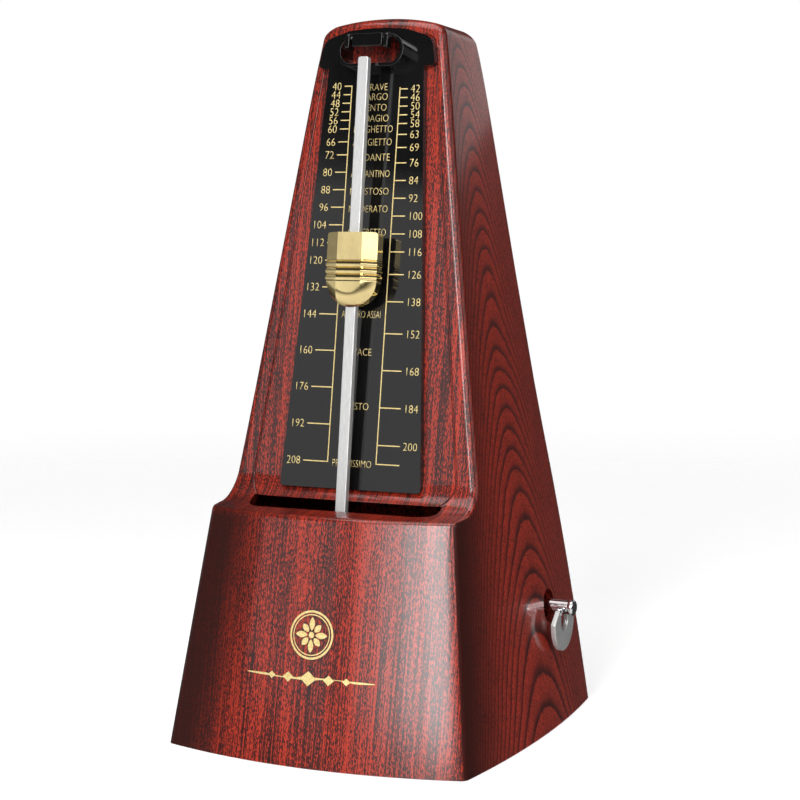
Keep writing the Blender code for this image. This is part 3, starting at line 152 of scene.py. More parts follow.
RIDGE_RELIEF = ((1.0, 0.24, 0.46), (0.0, -0.30, 0.16), (1.78, -0.14, 0.16))  # below, height, spread
CHANNEL_HALF_WIDTH = 2.0
CHANNEL_SPAN = (-1.4, 9.0)      # front of the rod's channel, and past the weight's back
CHANNEL_LENGTH = 40.0

KEY_AXIS = Vector(JOINTS["train_run"]["pos_m"]) / MM
WING_PIN = Vector(JOINTS["wing_fold"]["pos_m"]) / MM
KEY_TIP_X = 55.2
KEY_SHAFT_RADIUS = 2.2
KEY_TIP_RADIUS = 2.5
KEY_TIP_ROUND = 1.2
KEY_SHAFT_END_X = 24.0
KEY_SPIGOT_RADIUS = 1.5
KEY_SPIGOT_X = 30.6             # depth of the bore in the stem's inner end
KEY_HOLE_RADIUS = 5.3
KEY_HOLE_SPAN = (30.0, 70.0)    # from inside the wall to beyond it
PIN_HOLE_RADIUS = 0.75
PIN_HOLE_REACH = 4.0
WING_HALF_WIDTH = 8.5
WING_SHOULDER = 3.0             # heights below the pin: widest point, foot and slot
WING_REACH = 12.4
WING_SLOT_REACH = 3.2
WING_THICKNESS = 1.6
WING_SLOT_HALF_WIDTH = 3.0
WING_ARM_HALF_WIDTH = 4.4
KNUCKLE_RADIUS = 1.25

PRINT_X = 0.4                   # middle of the printed scale
PRINT_HALF_WIDTH = 8.0          # from there to each of its upright lines
PRINT_DEPTH = 0.04
PRINT_LINE = 0.16               # half thickness of a printed line
PRINT_GAP = 0.9                 # from a tick to its number
PRINT_RIGHT_DROP = 0.9          # the right upright line ends this much lower
TICK_START = 2.5                # length of the tick at 40
TICK_ENDS = (8.2, 7.6)          # length at 208, on the left and on the right
TEMPO_RANGE = (40, 208)
TEMPO_CURVE = (152.35, 0.63564, 0.00015969)
NUMBER_HEIGHT = 2.35
NUMBER_SQUEEZE = 0.92
WORD_HEIGHT = 2.1
WORD_SQUEEZE = 0.82
WORD_WIDTH = 12.8               # the longest words are squeezed into this
WORD_DROP = 0.2

ORNAMENT = (0.2, 37.6)          # x and z of the medallion's middle
ORNAMENT_RINGS = ((6.9, 6.35), (5.85, 5.6))     # outer and inner radius
ORNAMENT_BOSS = 0.85
PETALS = 8
PETAL_START = 1.25
PETAL_REACHES = (5.0, 4.1)      # of every other petal
PETAL_HALF_WIDTH = 0.85
RULE_Z = 25.3
RULE_HALF_LENGTH = 20.5
RULE_HALF_HEIGHTS = (0.06, 0.42)    # at its ends, and what its middle adds
LOZENGES = ((0.0, 2.1), (-6.5, 1.4), (6.5, 1.4), (-12.0, 1.0), (12.0, 1.0))    # place, half height
LOZENGE_SHAPE = 1.2             # half width over half height
WRAP_LIFT = 0.05                # of the gilding in front of the skin
WRAP_THICKNESS = 0.08


# ---------------------------------------------------------------- small tools
def lerp(a, b, t):
    """The value a fraction t of the way from a to b."""
    return a + (b - a) * t


def link(name, mesh):
    """A scene object around a mesh."""
    obj = bpy.data.objects.new(name, mesh)
    bpy.context.scene.collection.objects.link(obj)
    return obj


def mesh_from(name, shape, matrix=None):
    """Turn a bmesh in millimetres into a mesh in metres, moved by a matrix if there is one."""
    bmesh.ops.recalc_face_normals(shape, faces=shape.faces)
    bmesh.ops.scale(shape, vec=(MM, MM, MM), verts=shape.verts)
    mesh = bpy.data.meshes.new(name)
    shape.to_mesh(mesh)
    shape.free()
    if matrix is not None:
        mesh.transform(matrix)
    return mesh


def frame_at(location, rotation=(0.0, 0.0, 0.0)):
    """Matrix of a local frame; location in millimetres, rotation in radians."""
    turn = Matrix.Identity(4)
    for angle, axis in zip(rotation, "XYZ"):
        turn = Matrix.Rotation(angle, 4, axis) @ turn
    return Matrix.Translation(Vector(location) * MM) @ turn


RIGHT_ANGLE = math.radians(90.0)
FRONT_FOOT = (0.0, RAIL_Y + RAIL_SLOPE * SHOULDER_Z, SHOULDER_Z)
FRONT_PLANE = frame_at(FRONT_FOOT, (RIGHT_ANGLE - RAIL_TILT, 0.0, 0.0))
PENDULUM = frame_at(PIVOT, (-ROD_LEAN, 0.0, 0.0))
ALONG_X = frame_at((0.0, 0.0, 0.0), (RIGHT_ANGLE, 0.0, RIGHT_ANGLE))
ALONG_Y = frame_at((0.0, 0.0, 0.0), (RIGHT_ANGLE, 0.0, 0.0))
SCREW_ALONG_X = frame_at((0.0, 0.0, 0.0), (0.0, RIGHT_ANGLE, 0.0))
SCREW_ALONG_Y = frame_at((0.0, 0.0, 0.0), (-RIGHT_ANGLE, 0.0, 0.0))
# turns an outline so that it lies across X, with its height up the slope
EAR_TURN = Matrix(((0.0, 0.0, 1.0, 0.0), (0.0, 1.0, 0.0, 0.0), (-1.0, 0.0, 0.0, 0.0), (0.0, 0.0, 0.0, 1.0)))


def evaluated_mesh(obj):
    """Mesh of an object with its modifiers applied."""
    bpy.context.view_layer.update()
    graph = bpy.context.evaluated_depsgraph_get()
    return bpy.data.meshes.new_from_object(obj.evaluated_get(graph))


def bake(obj):
    """Apply an object's modifiers to its mesh."""
    mesh = evaluated_mesh(obj)
    obj.modifiers.clear()
    obj.data = mesh
    return obj


def boolean(obj, cutter, operation='DIFFERENCE'):
    """Cut or intersect with another object, which is then removed."""
    change = obj.modifiers.new("boolean", 'BOOLEAN')
    change.operation = operation
    change.solver = 'EXACT'
    change.object = cutter
    bake(obj)
    bpy.data.objects.remove(cutter, do_unlink=True)
    return obj


def soften(obj, width, segments=3, angle_deg=35.0):
    """Round the hard edges and shade the rest smooth."""
    bevel = obj.modifiers.new("edges", 'BEVEL')
    bevel.width = width * MM
    bevel.segments = segments
    bevel.limit_method = 'ANGLE'
    bevel.angle_limit = math.radians(angle_deg)
    bevel.use_clamp_overlap = True
    bake(obj)
    return smooth(obj)


def smooth(obj, angle_deg=35.0):
    """Shade smooth between edges sharper than the angle."""
    obj.data.shade_smooth()
    obj.data.set_sharp_from_angle(angle=math.radians(angle_deg))
    weighted = obj.modifiers.new("normals", 'WEIGHTED_NORMAL')
    weighted.keep_sharp = True
    return bake(obj)


def prism(name, loops, thickness, matrix):
    """A flat outline with holes, extruded evenly to both sides of its local XY plane."""
    curve = bpy.data.curves.new(name, 'CURVE')
    curve.dimensions = '2D'
    curve.fill_mode = 'BOTH'
    curve.extrude = thickness / 2 * MM
    for points in loops:
        spline = curve.splines.new('POLY')
        spline.points.add(len(points) - 1)
        for point, (x, y) in zip(spline.points, points):
            point.co = (x * MM, y * MM, 0.0, 1.0)
        spline.use_cyclic_u = True
    guide = link(name + "_outline", curve)
    mesh = evaluated_mesh(guide)
    bpy.data.objects.remove(guide, do_unlink=True)
    shape = bmesh.new()
    shape.from_mesh(mesh)
    bmesh.ops.remove_doubles(shape, verts=shape.verts, dist=0.001 * MM)
    flat = math.radians(0.5)
    bmesh.ops.dissolve_limit(shape, angle_limit=flat, verts=shape.verts, edges=shape.edges)
    bmesh.ops.recalc_face_normals(shape, faces=shape.faces)
    shape.to_mesh(mesh)
    shape.free()
    mesh.materials.clear()
    mesh.transform(matrix)
    return link(name, mesh)


def turned(name, profile, matrix, steps=64):
    """Spin a profile of (radius, z) about local Z."""
    shape = bmesh.new()
    rings = []
    for radius, z in profile:
        if radius <= 0.0:
            rings.append([shape.verts.new((0.0, 0.0, z))])
            continue
        ring = []
        for i in range(steps):
            angle = math.tau * i / steps
            ring.append(shape.verts.new((radius * math.cos(angle), radius * math.sin(angle), z)))
        rings.append(ring)
    for low, high in zip(rings, rings[1:]):
        for i in range(steps):
            j = (i + 1) % steps
            corners = [low[i % len(low)], low[j % len(low)], high[j % len(high)], high[i % len(high)]]
            unique = list(dict.fromkeys(corners))
            if len(unique) > 2:
                shape.faces.new(unique)
    return link(name, mesh_from(name, shape, matrix))


def finish(obj, slot, body, replaced=(), material=None):
    """Give a piece its finish and its body, and hide the CAD nodes it stands for."""
    obj.data.materials.clear()
    obj.data.materials.append(MATERIALS[material or slot])
    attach(obj, body)
    if replaced:
        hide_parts(*replaced)
    return obj


# ---------------------------------------------------------------- outlines
def arc(centre, radius, start_deg, end_deg, count):
    """Points along an arc, both ends included."""
    points = []
    for i in range(count):
        angle = math.radians(lerp(start_deg, end_deg, i / (count - 1)))
        points.append((centre[0] + radius * math.cos(angle), centre[1] + radius * math.sin(angle)))
    return points


def round_corner(before, corner, after, radius, count):
    """Points of an arc that rounds one corner of an outline."""
    corner = Vector(corner)
    to_before = (Vector(before) - corner).normalized()
    to_after = (Vector(after) - corner).normalized()
    half = to_before.angle(to_after) / 2
    centre = corner + (to_before + to_after).normalized() * (radius / math.sin(half))
    first = corner + to_before * (radius / math.tan(half)) - centre
    last = corner + to_after * (radius / math.tan(half)) - centre
    points = []
    for i in range(count):
        spread = first.lerp(last, i / (count - 1)).normalized() * radius
        points.append(tuple(centre + spread))
    return points


def rounded_outline(corners, count=9):
    """A closed outline from (x, y, radius) corners."""
    points = []
    for i, (x, y, radius) in enumerate(corners):
        if radius <= 0.0:
            points.append((x, y))
            continue
        before = corners[i - 1][:2]
        after = corners[(i + 1) % len(corners)][:2]
        points += round_corner(before, (x, y), after, radius, count)
    return points


def oval(length, height, centre=(0.0, 0.0), count=19):
    """A slot-shaped outline with half-round ends."""
    radius = height / 2
    reach = length / 2 - radius
    right = arc((centre[0] + reach, centre[1]), radius, -90.0, 90.0, count)
    left = arc((centre[0] - reach, centre[1]), radius, 90.0, 270.0, count)
    return right + left


# ---------------------------------------------------------------- materials
class Graph:
    """Short-hand for building a Principled material from nodes."""

    def __init__(self, name):
        self.material = bpy.data.materials.new(name)
        self.material.use_nodes = True
        self.tree = self.material.node_tree
        self.shader = self.tree.nodes["Principled BSDF"]

    def add(self, kind, inputs=None, **settings):
        """A node with its settings and input values or links."""
        node = self.tree.nodes.new("ShaderNode" + kind)
        for key, value in settings.items():
            setattr(node, key, value)
        for key, value in (inputs or {}).items():
            self.feed(node.inputs[key], value)
        return node

    def feed(self, socket, value):
        """Link an output to a socket, or set its value."""
        if isinstance(value, bpy.types.NodeSocket):
            self.tree.links.new(value, socket)
        else:
            socket.default_value = value

    def set(self, **values):
        """Feed the shader's sockets; an underscore in a name stands for a space."""
        for key, value in values.items():
            self.feed(self.shader.inputs[key.replace("_", " ")], value)

    def math(self, operation, first, second=0.0, clamp=False):
        """Result of a math node."""
        node = self.add("Math", {0: first, 1: second}, operation=operation, use_clamp=clamp)
        return node.outputs[0]

    def position(self, stretch=(1.0, 1.0, 1.0), shift=(0.0, 0.0, 0.0)):
        """The piece's own coordinates, in metres, scaled along each axis."""
        coordinates = self.add("TexCoord").outputs["Object"]
        mapping = self.add("Mapping", {"Vector": coordinates, "Scale": stretch, "Location": shift})
        return mapping.outputs["Vector"]

    def noise(self, scale, stretch=(1.0, 1.0, 1.0), detail=2.0, rough=0.5, shift=(0.0, 0.0, 0.0)):
        """Noise value between 0 and 1."""
        node = self.add("TexNoise", {"Vector": self.position(stretch, shift), "Scale": scale,
                                     "Detail": detail, "Roughness": rough})
        return node.outputs["Fac"]

    def span(self, value, low, high, to_low=0.0, to_high=1.0, smooth_edges=True):
        """Map a value's range onto another, clamped."""
        kind = 'SMOOTHSTEP' if smooth_edges else 'LINEAR'
        node = self.add("MapRange", {"Value": value, "From Min": low, "From Max": high,
                                     "To Min": to_low, "To Max": to_high}, interpolation_type=kind)
        return node.outputs["Result"]

    def blend(self, share, first, second):
        """Colour between two colours."""
        node = self.add("Mix", {0: share, 6: first, 7: second}, data_type='RGBA')
        return node.outputs[2]

    def choose(self, share, first, second):
        """Number between two numbers."""
        return self.add("Mix", {0: share, 2: first, 3: second}).outputs[0]

    def bump(self, height, strength, distance):
        """Surface relief on the base layer."""
        node = self.add("Bump", {"Height": height, "Strength": strength, "Distance": distance})
        self.set(Normal=node.outputs["Normal"])


WOOD_LIGHT = (0.40, 0.031, 0.013, 1.0)
WOOD_MIDDLE = (0.17, 0.013, 0.007, 1.0)
WOOD_DARK = (0.012, 0.0035, 0.003, 1.0)
PAINTED_EDGE_SHADE = (0.020, 0.0035, 0.0025, 1.0)     # painted shade near the upright corners
PORE_RATE = 3400.0              # noise cells per metre across the front's grain
LINE_RATE = 2200.0
BAND_RATE = 110.0
GRAIN_SHARES = (0.42, 0.38, 0.20)    # of pores, fine lines and bands in the front's grain
EDGE_TAPER = 0.134              # how fast the painted shade's edge in front leans in with height
CORNER_LEAN = 0.169             # how fast the sides' front corners lean back with height, for the painted shade beside them
PAINTED_SHADE_TOP = (0.068, 0.074)      # heights over which the painted shade in front ends
GRAIN_CENTRE_Y = 0.0068         # middle of the arches on each side
GRAIN_DEPTH = (0.045, 0.155)    # half depth of a side at z = 0, and its loss per height
GRAIN_OPENING = 2.2             # how steeply the arches fall away
GRAIN_RATE = 218.0              # rings per metre raised to the power below
GRAIN_POWER = 1.33


def cathedral(g, spot):
    """Darkness of the nested arches on the sides, one per growth ring."""
    depth = g.math('SUBTRACT', GRAIN_DEPTH[0], g.math('MULTIPLY', spot.outputs["Z"], GRAIN_DEPTH[1]))
    drift = g.span(g.noise(16.0, (1.0, 1.0, 0.6), 1.0), 0.0, 1.0, -0.004, 0.004, False)
    aside = g.math('ADD', g.math('SUBTRACT', spot.outputs["Y"], GRAIN_CENTRE_Y), drift)
    fall = g.math('MULTIPLY', g.math('DIVIDE', g.math('MULTIPLY', aside, aside), depth), GRAIN_OPENING)
    warp = g.span(g.noise(24.0, (1.0, 1.0, 0.9), 1.0), 0.0, 1.0, -0.010, 0.010, False)
    ragged = g.span(g.noise(420.0, (1.0, 1.0, 0.35), 3.0), 0.0, 1.0, -0.0009, 0.0009, False)
    level = g.math('ADD', g.math('ADD', spot.outputs["Z"], fall), g.math('ADD', warp, ragged))
    level = g.math('ADD', level, 0.02)
    rings = g.math('MULTIPLY', g.math('POWER', level, GRAIN_POWER), GRAIN_RATE)
    ramp = g.add("ValToRGB", {"Fac": g.math('FRACT', rings)})
    stops = ramp.color_ramp.elements
    stops[0].color = (1.0, 1.0, 1.0, 1.0)
    stops[1].color = (1.0, 1.0, 1.0, 1.0)
    for place, dark in ((0.10, 0.86), (0.28, 0.42), (0.55, 0.20), (0.93, 0.08)):
        stops.new(place).color = (dark, dark, dark, 1.0)
    return ramp.outputs["Color"]


def straight_grain(g):
    """Darkness in front: short pores that gather into fine upright lines, denser in some bands."""
    pores = g.noise(PORE_RATE, (1.0, 1.0, 0.26), 1.0, 0.6)
    lines = g.noise(LINE_RATE, (1.0, 0.01, 0.008), 2.0, 0.6)
    bands = g.noise(BAND_RATE, (1.0, 0.02, 0.02), 2.0, 0.55, (3.1, 0.0, 0.0))
    parts = [g.math('MULTIPLY', part, share) for part, share in zip((pores, lines, bands), GRAIN_SHARES)]
    density = g.math('ADD', g.math('ADD', parts[0], parts[1]), parts[2])
    return g.span(density, 0.43, 0.55, 0.0, 0.92)


def corner_tone(g, spot, on_side):
    """Share of the painted shade: the lower front's left edge, and each side near its front corner."""
    height = spot.outputs["Z"]
    width = g.math('SUBTRACT', BASE_HALF_WIDTH * MM, g.math('MULTIPLY', height, EDGE_TAPER))
    beyond = g.math('SUBTRACT', g.math('MULTIPLY', spot.outputs["X"], -1.0), width)
    # painted shade along the lower front's left edge, fading out higher up
    front = g.span(beyond, -0.028, -0.006, 0.0, 0.93)
    front = g.math('MULTIPLY', front, g.span(height, *PAINTED_SHADE_TOP, 1.0, 0.1))
    front = g.math('MULTIPLY', front, g.span(spot.outputs["Y"], -0.02, 0.0, 1.0, 0.0))
    # painted shade on each side, darkest at its front corner
    corner = g.math('ADD', g.math('MULTIPLY', height, CORNER_LEAN), BASE_FRONT_Y * MM)
    side = g.span(g.math('SUBTRACT', spot.outputs["Y"], corner), 0.0, 0.034, 0.92, 0.0)
    return g.choose(on_side, front, side)


def mahogany():
    """Lacquered mahogany: straight grain in front, cathedral arches on the sides, painted shade near the upright
    corners.
    """
    g = Graph("mahogany")
    spot = g.add("SeparateXYZ", {0: g.position()})
    normal = g.add("SeparateXYZ", {0: g.add("NewGeometry").outputs["Normal"]})
    on_side = g.span(g.math('ABSOLUTE', normal.outputs["X"]), 0.55, 0.68)
    pores = g.span(g.noise(3000.0, (1.0, 1.0, 0.40), 1.0, 0.6), 0.46, 0.60, 0.0, 0.66)
    arches = g.math('MAXIMUM', g.math('MULTIPLY', cathedral(g, spot), 0.90), pores)
    darkness = g.choose(on_side, straight_grain(g), arches)
    cloud = g.noise(260.0, (1.0, 1.0, 0.25), 2.0, 0.5)
    darkness = g.math('ADD', darkness, g.span(cloud, 0.3, 0.7, -0.04, 0.05), clamp=True)
    mid = g.blend(g.span(darkness, 0.0, 0.55, smooth_edges=False), WOOD_LIGHT, WOOD_MIDDLE)
    colour = g.blend(g.span(darkness, 0.45, 1.0, smooth_edges=False), mid, WOOD_DARK)
    # painted shade: darker along the lower front's left edge and on each side near its front corner
    colour = g.blend(corner_tone(g, spot, on_side), colour, PAINTED_EDGE_SHADE)
    g.set(Base_Color=colour, Roughness=g.span(darkness, 0.0, 1.0, 0.30, 0.42),
          Specular_IOR_Level=0.25, Coat_Weight=0.9, Coat_Roughness=0.12, Coat_IOR=1.45)
    g.bump(darkness, 0.08, 0.0002)
    return g.material


def black_plastic():
    """Black moulding with a high, slightly uneven polish."""
    g = Graph("black_plastic")
    cloud = g.noise(45.0, detail=3.0)
    grit = g.noise(4000.0, detail=1.0)
    shade = g.math('ADD', g.math('MULTIPLY', cloud, 0.006), g.math('MULTIPLY', grit, 0.003))
    blue = g.math('MULTIPLY', shade, 1.06)
    colour = g.add("CombineColor", {0: shade, 1: shade, 2: blue}).outputs[0]
    g.set(Base_Color=colour, Roughness=g.span(cloud, 0.3, 0.7, 0.05, 0.10), Specular_IOR_Level=0.55)
    g.bump(grit, 0.03, 0.0001)
    return g.material


def metal(name, colour, roughness, grain=(1.0, 1.0, 1.0), spread=0.08, scale=900.0, relief=0.03,
          metallic=1.0):
    """Metal with fine tool marks, drawn out along each axis where grain is below one."""
    g = Graph(name)
    marks = g.noise(scale, grain, 3.0, 0.6)
    tarnish = g.noise(60.0, detail=3.0)
    deep = tuple(c * 0.72 for c in colour[:3]) + (1.0,)
    tone = g.math('ADD', g.math('MULTIPLY', marks, 0.35), g.math('MULTIPLY', tarnish, 0.65))
    g.set(Base_Color=g.blend(g.span(tone, 0.35, 0.75), colour, deep), Metallic=metallic,
          Roughness=g.span(marks, 0.25, 0.75, max(roughness - spread, 0.02), roughness + spread))
    g.bump(marks, relief, 0.0001)
    return g.material


def satin_rod():
    """Pale satin metal of the pendulum rod, drawn along its length."""
    g = Graph("rod_steel")
    marks = g.noise(2600.0, (1.0, 1.0, 0.02), 3.0, 0.6)
    tone = g.blend(g.span(marks, 0.3, 0.7), (0.68, 0.68, 0.67, 1.0), (0.57, 0.57, 0.57, 1.0))
    g.set(Base_Color=tone, Metallic=0.55, Roughness=g.span(marks, 0.3, 0.7, 0.30, 0.42))
    g.bump(marks, 0.05, 0.0001)
    return g.material


def cast_iron():
    """Dull casting with a pitted skin."""
    g = Graph("cast_iron")
    pits = g.noise(900.0, detail=4.0, rough=0.7)
    tone = g.blend(g.span(pits, 0.3, 0.7), (0.055, 0.055, 0.06, 1.0), (0.14, 0.135, 0.13, 1.0))
    g.set(Base_Color=tone, Metallic=0.7, Roughness=g.span(pits, 0.3, 0.7, 0.45, 0.65))
    g.bump(pits, 0.4, 0.0004)
    return g.material


def rubber():
    """Matt black rubber with a fine grain."""
    g = Graph("rubber")
    grain = g.noise(2500.0, detail=2.0)
    tone = g.blend(grain, (0.012, 0.012, 0.012, 1.0), (0.03, 0.03, 0.03, 1.0))
    g.set(Base_Color=tone, Roughness=g.span(grain, 0.3, 0.7, 0.72, 0.88))
    g.bump(grain, 0.2, 0.0002)
    return g.material


def gilt_print():
    """Gold foil printing, slightly uneven."""
    g = Graph("gilt_print")
    flakes = g.noise(1800.0, detail=3.0)
    tone = g.blend(g.span(flakes, 0.35, 0.65), (0.88, 0.72, 0.34, 1.0), (0.70, 0.53, 0.20, 1.0))
    g.set(Base_Color=tone, Metallic=0.45, Roughness=g.span(flakes, 0.3, 0.7, 0.32, 0.48))
    g.bump(flakes, 0.08, 0.0001)
    return g.material


def pale_floor():
    """Pale studio surface that takes a faint shadow and fades into the backdrop."""
    g = Graph("pale_floor")
    cloud = g.noise(3.0, detail=2.0)
    tone = g.blend(cloud, (0.95, 0.95, 0.95, 1.0), (0.92, 0.92, 0.92, 1.0))
    away = g.add("VectorMath", {0: g.position()}, operation='LENGTH').outputs["Value"]
    g.set(Base_Color=tone, Roughness=0.65, Specular_IOR_Level=0.2,
          Emission_Color=(1.0, 1.0, 1.0, 1.0), Emission_Strength=0.40,
          Alpha=g.span(away, 0.15, 0.90, 1.0, 0.0))
    return g.material


MATERIALS = {
    "mahogany": mahogany(),
    "black_plastic": black_plastic(),
    "rod_steel": satin_rod(),
    "polished_brass": metal("polished_brass", (0.94, 0.75, 0.36, 1.0), 0.13, (1.0, 1.0, 0.4),
                            spread=0.02, scale=300.0, relief=0.004),
    "wheel_brass": metal("wheel_brass", (0.80, 0.58, 0.26, 1.0), 0.28, (0.1, 1.0, 1.0)),
    "frame_steel": metal("frame_steel", (0.56, 0.56, 0.57, 1.0), 0.36, (1.0, 0.06, 1.0)),
    "spring_steel": metal("spring_steel", (0.16, 0.20, 0.30, 1.0), 0.26, (0.08, 1.0, 1.0)),
    "arbor_steel": metal("arbor_steel", (0.66, 0.66, 0.67, 1.0), 0.22, (1.0, 0.2, 0.2)),
    "chrome": metal("chrome", (0.86, 0.86, 0.87, 1.0), 0.07,
                    spread=0.03, scale=300.0, relief=0.01),
    "satin_chrome": metal("satin_chrome", (0.62, 0.63, 0.62, 1.0), 0.34, (1.0, 0.15, 1.0),
                          spread=0.05, scale=1400.0, relief=0.02, metallic=0.6),
    "cast_iron": cast_iron(),
    "rubber": rubber(),
    "gilt_print": gilt_print(),
}


# ---------------------------------------------------------------- the case
def half_width_back(z):
    """Half width at the back corners, which are a little full low down."""
    width = lerp(BASE_HALF_WIDTH, TOP_BACK_HALF_WIDTH, z / TAPER_Z)
    if 0.0 < z < LOWER_FULLNESS_TOP:
        width += LOWER_FULLNESS * math.sin(math.pi * z / LOWER_FULLNESS_TOP)
    return width


def half_width_front(z):
    """Half width at the front corners of the un-cut pyramid."""
    if z <= SHOULDER_Z:
        return lerp(BASE_HALF_WIDTH, SHOULDER_HALF_WIDTH, z / SHOULDER_Z)
    share = (z - SHOULDER_Z) / (TAPER_Z - SHOULDER_Z)
    return lerp(SHOULDER_HALF_WIDTH, TOP_FRONT_HALF_WIDTH, share)


def base_front(z):
    """Y of the lower front's corners, and of the line they follow above the ledge."""
    return lerp(BASE_FRONT_Y, SHOULDER_FRONT_Y, z / SHOULDER_Z)


def base_bulge(z):
    """How far the lower front bows out at a height."""
    return lerp(BASE_FRONT_BULGE, SHOULDER_FRONT_BULGE, z / SHOULDER_Z)


def front_skin(x, z):
    """Y of the bowed lower front."""
    return base_front(z) - base_bulge(z) * (1 - (x / half_width_front(z)) ** 2)


def back_face(z):
    """Y of the flat back."""
    return lerp(BACK_Y, BACK_TOP_Y, z / TAPER_Z)


def rail_face(z):
    """Y of the upper front's plane."""
    return RAIL_Y + RAIL_SLOPE * z


def side_face(y, z):
    """X of the bowed right side."""
    front = base_front(z)
    back = back_face(z)
    share = (y - front) / (back - front)
    bow = SIDE_BULGE * (half_width_back(z) / BASE_HALF_WIDTH) ** 2
    return lerp(half_width_front(z), half_width_back(z), share) + bow * 4 * share * (1 - share)


def section(z, front_y, front_bulge, inset=0.0, side_steps=14, front_steps=24, corner_steps=8):
    """One horizontal outline of the case, anticlockwise seen from above."""
    back_y = back_face(z) - inset
    front_y += inset
    right = []
    for i in range(side_steps + 1):
        y = lerp(front_y, back_y, i / side_steps)
        right.append((side_face(y, z) - inset, y))
    corner_x = right[0][0]
    front = []
    for i in range(1, front_steps):
        x = lerp(-corner_x, corner_x, i / front_steps)
        front.append((x, front_y - front_bulge * (1 - (x / corner_x) ** 2)))
    left = [(-x, y) for x, y in reversed(right)]
    front_radius = max(CORNER_RADIUS - inset, 0.4)
    back_radius = max(BACK_CORNER_RADIUS - inset, 0.4)
    outline = list(front)
    outline += round_corner(front[-1], right[0], right[1], front_radius, corner_steps)
    outline += right[1:-1]
    outline += round_corner(right[-2], right[-1], (0.0, back_y), back_radius, corner_steps)
    for share in (0.5, 0.0, -0.5):
        outline.append((share * right[-1][0], back_y))
    outline += round_corner((0.0, back_y), left[0], left[1], back_radius, corner_steps)
    outline += left[1:-1]
    outline += round_corner(left[-2], left[-1], front[0], front_radius, corner_steps)
    return outline


def arched(x, y, z):
    """Height of a point once the sections near the top follow its arch."""
    share = max(0.0, (z - ARCH_START_Z) / (HEIGHT - ARCH_START_Z)) ** 2
    depth = back_face(HEIGHT) - rail_face(HEIGHT)
    fall = ARCH_DROP * (x / TOP_FRONT_HALF_WIDTH) ** 2
    fall += BACK_DROP * (y - rail_face(HEIGHT)) / depth
    return z - share * fall


def skin_rings(inset):
    """Horizontal rings of the case's skin from the rim up, as lists of 3-D points."""
    floor = -1.0 if inset else RIM_Z
    shoulder = SHOULDER_Z - inset
    edge = LEDGE_EDGE_RADIUS
    rings = []

    def ring(z, front_y, bulge):
        rings.append([(x, y, arched(x, y, z)) for x, y in section(z, front_y, bulge, inset)])

    for z in (floor, 8.0, 16.0, 25.0, 35.0, 45.0, 55.0, 63.0):
        ring(z, base_front(z), base_bulge(z))
    for i in range(7):
        turn = RIGHT_ANGLE * i / 6
        z = shoulder - edge + edge * math.sin(turn)
        ring(z, base_front(z) + edge * (1 - math.cos(turn)), base_bulge(z))
    fillet = LEDGE_FILLET + inset
    rail = rail_face(SHOULDER_Z)
    steps = 12
    widest = math.radians(85.0)
    for i in range(steps + 1):
        turn = widest * i / steps
        z = shoulder + LEDGE_RISE + fillet * (1 - math.cos(turn))
        y = rail - LEDGE_FILLET + fillet * math.sin(turn) - inset + RAIL_SLOPE * (z - SHOULDER_Z)
        fade = 1.0 - (i / steps) ** 0.5
        ring(z, y, SHOULDER_FRONT_BULGE * fade * 0.6)
    for z in (92.0, 105.0, 120.0, 135.0, 150.0, 165.0, 180.0, ARCH_START_Z, 197.0, 203.0, 208.0):
        ring(z, rail_face(z), 0.0)
    return rings + top_rings(HEIGHT - inset, inset)


def top_rings(top, inset):
    """Rings of the rounded upper edge and of the arched top itself."""
    rings = []
    front = rail_face(HEIGHT)
    depth = back_face(HEIGHT) - front
    middle = Vector((0.0, front + depth / 2))
    steps = 8
    for i in range(steps + 1):
        turn = RIGHT_ANGLE * i / steps
        lift = 1 - math.sin(turn)
        outline = section(top - 4.0 * lift, rail_face(top - 4.0 * lift), 0.0, inset)
        points = []
        for x, y in outline:
            share = min(max((y - front) / depth, 0.0), 1.0)
            radius = lerp(TOP_EDGE_RADIUS, TOP_BACK_EDGE_RADIUS, share ** 2)
            radius = max(radius - inset, 0.6)
            inwards = (middle - Vector((x, y))).normalized()
            spot = Vector((x, y)) + inwards * radius * (1 - math.cos(turn))
            z = top - radius * lift
            points.append((spot.x, spot.y, arched(spot.x, spot.y, z)))
        rings.append(points)
    last = rings[-1]
    for shrink in (0.8, 0.6, 0.4, 0.2):
        points = []
        for x, y, _ in last:
            spot = (x * shrink, lerp(middle.y, y, shrink))
            points.append((spot[0], spot[1], arched(spot[0], spot[1], top)))
        rings.append(points)
    return rings


def bridge_rings(shape, rings, flip=False):
    """Join neighbouring rings with quads and return their vertices."""
    rows = [[shape.verts.new(point) for point in ring] for ring in rings]
    for low, high in zip(rows, rows[1:]):
        for i in range(len(low)):
            j = (i + 1) % len(low)
            quad = (low[i], low[j], high[j], high[i])
            shape.faces.new(reversed(quad) if flip else quad)
    return rows


def case_blank(name):
    """The whole case as one open-bottomed skin, before it is divided and cut."""
    shape = bmesh.new()
    outer = bridge_rings(shape, skin_rings(0.0))
    inner_rings = skin_rings(WALL)
    inner_rings[0] = [(x, y, RIM_Z) for x, y, _ in inner_rings[0]]
    inner = bridge_rings(shape, inner_rings, flip=True)
    shape.faces.new(outer[-1])
    shape.faces.new(list(reversed(inner[-1])))
    for i in range(len(outer[0])):
        j = (i + 1) % len(outer[0])
        shape.faces.new((outer[0][j], outer[0][i], inner[0][i], inner[0][j]))
    bmesh.ops.triangulate(shape, faces=shape.faces)
    return link(name, mesh_from(name, shape))


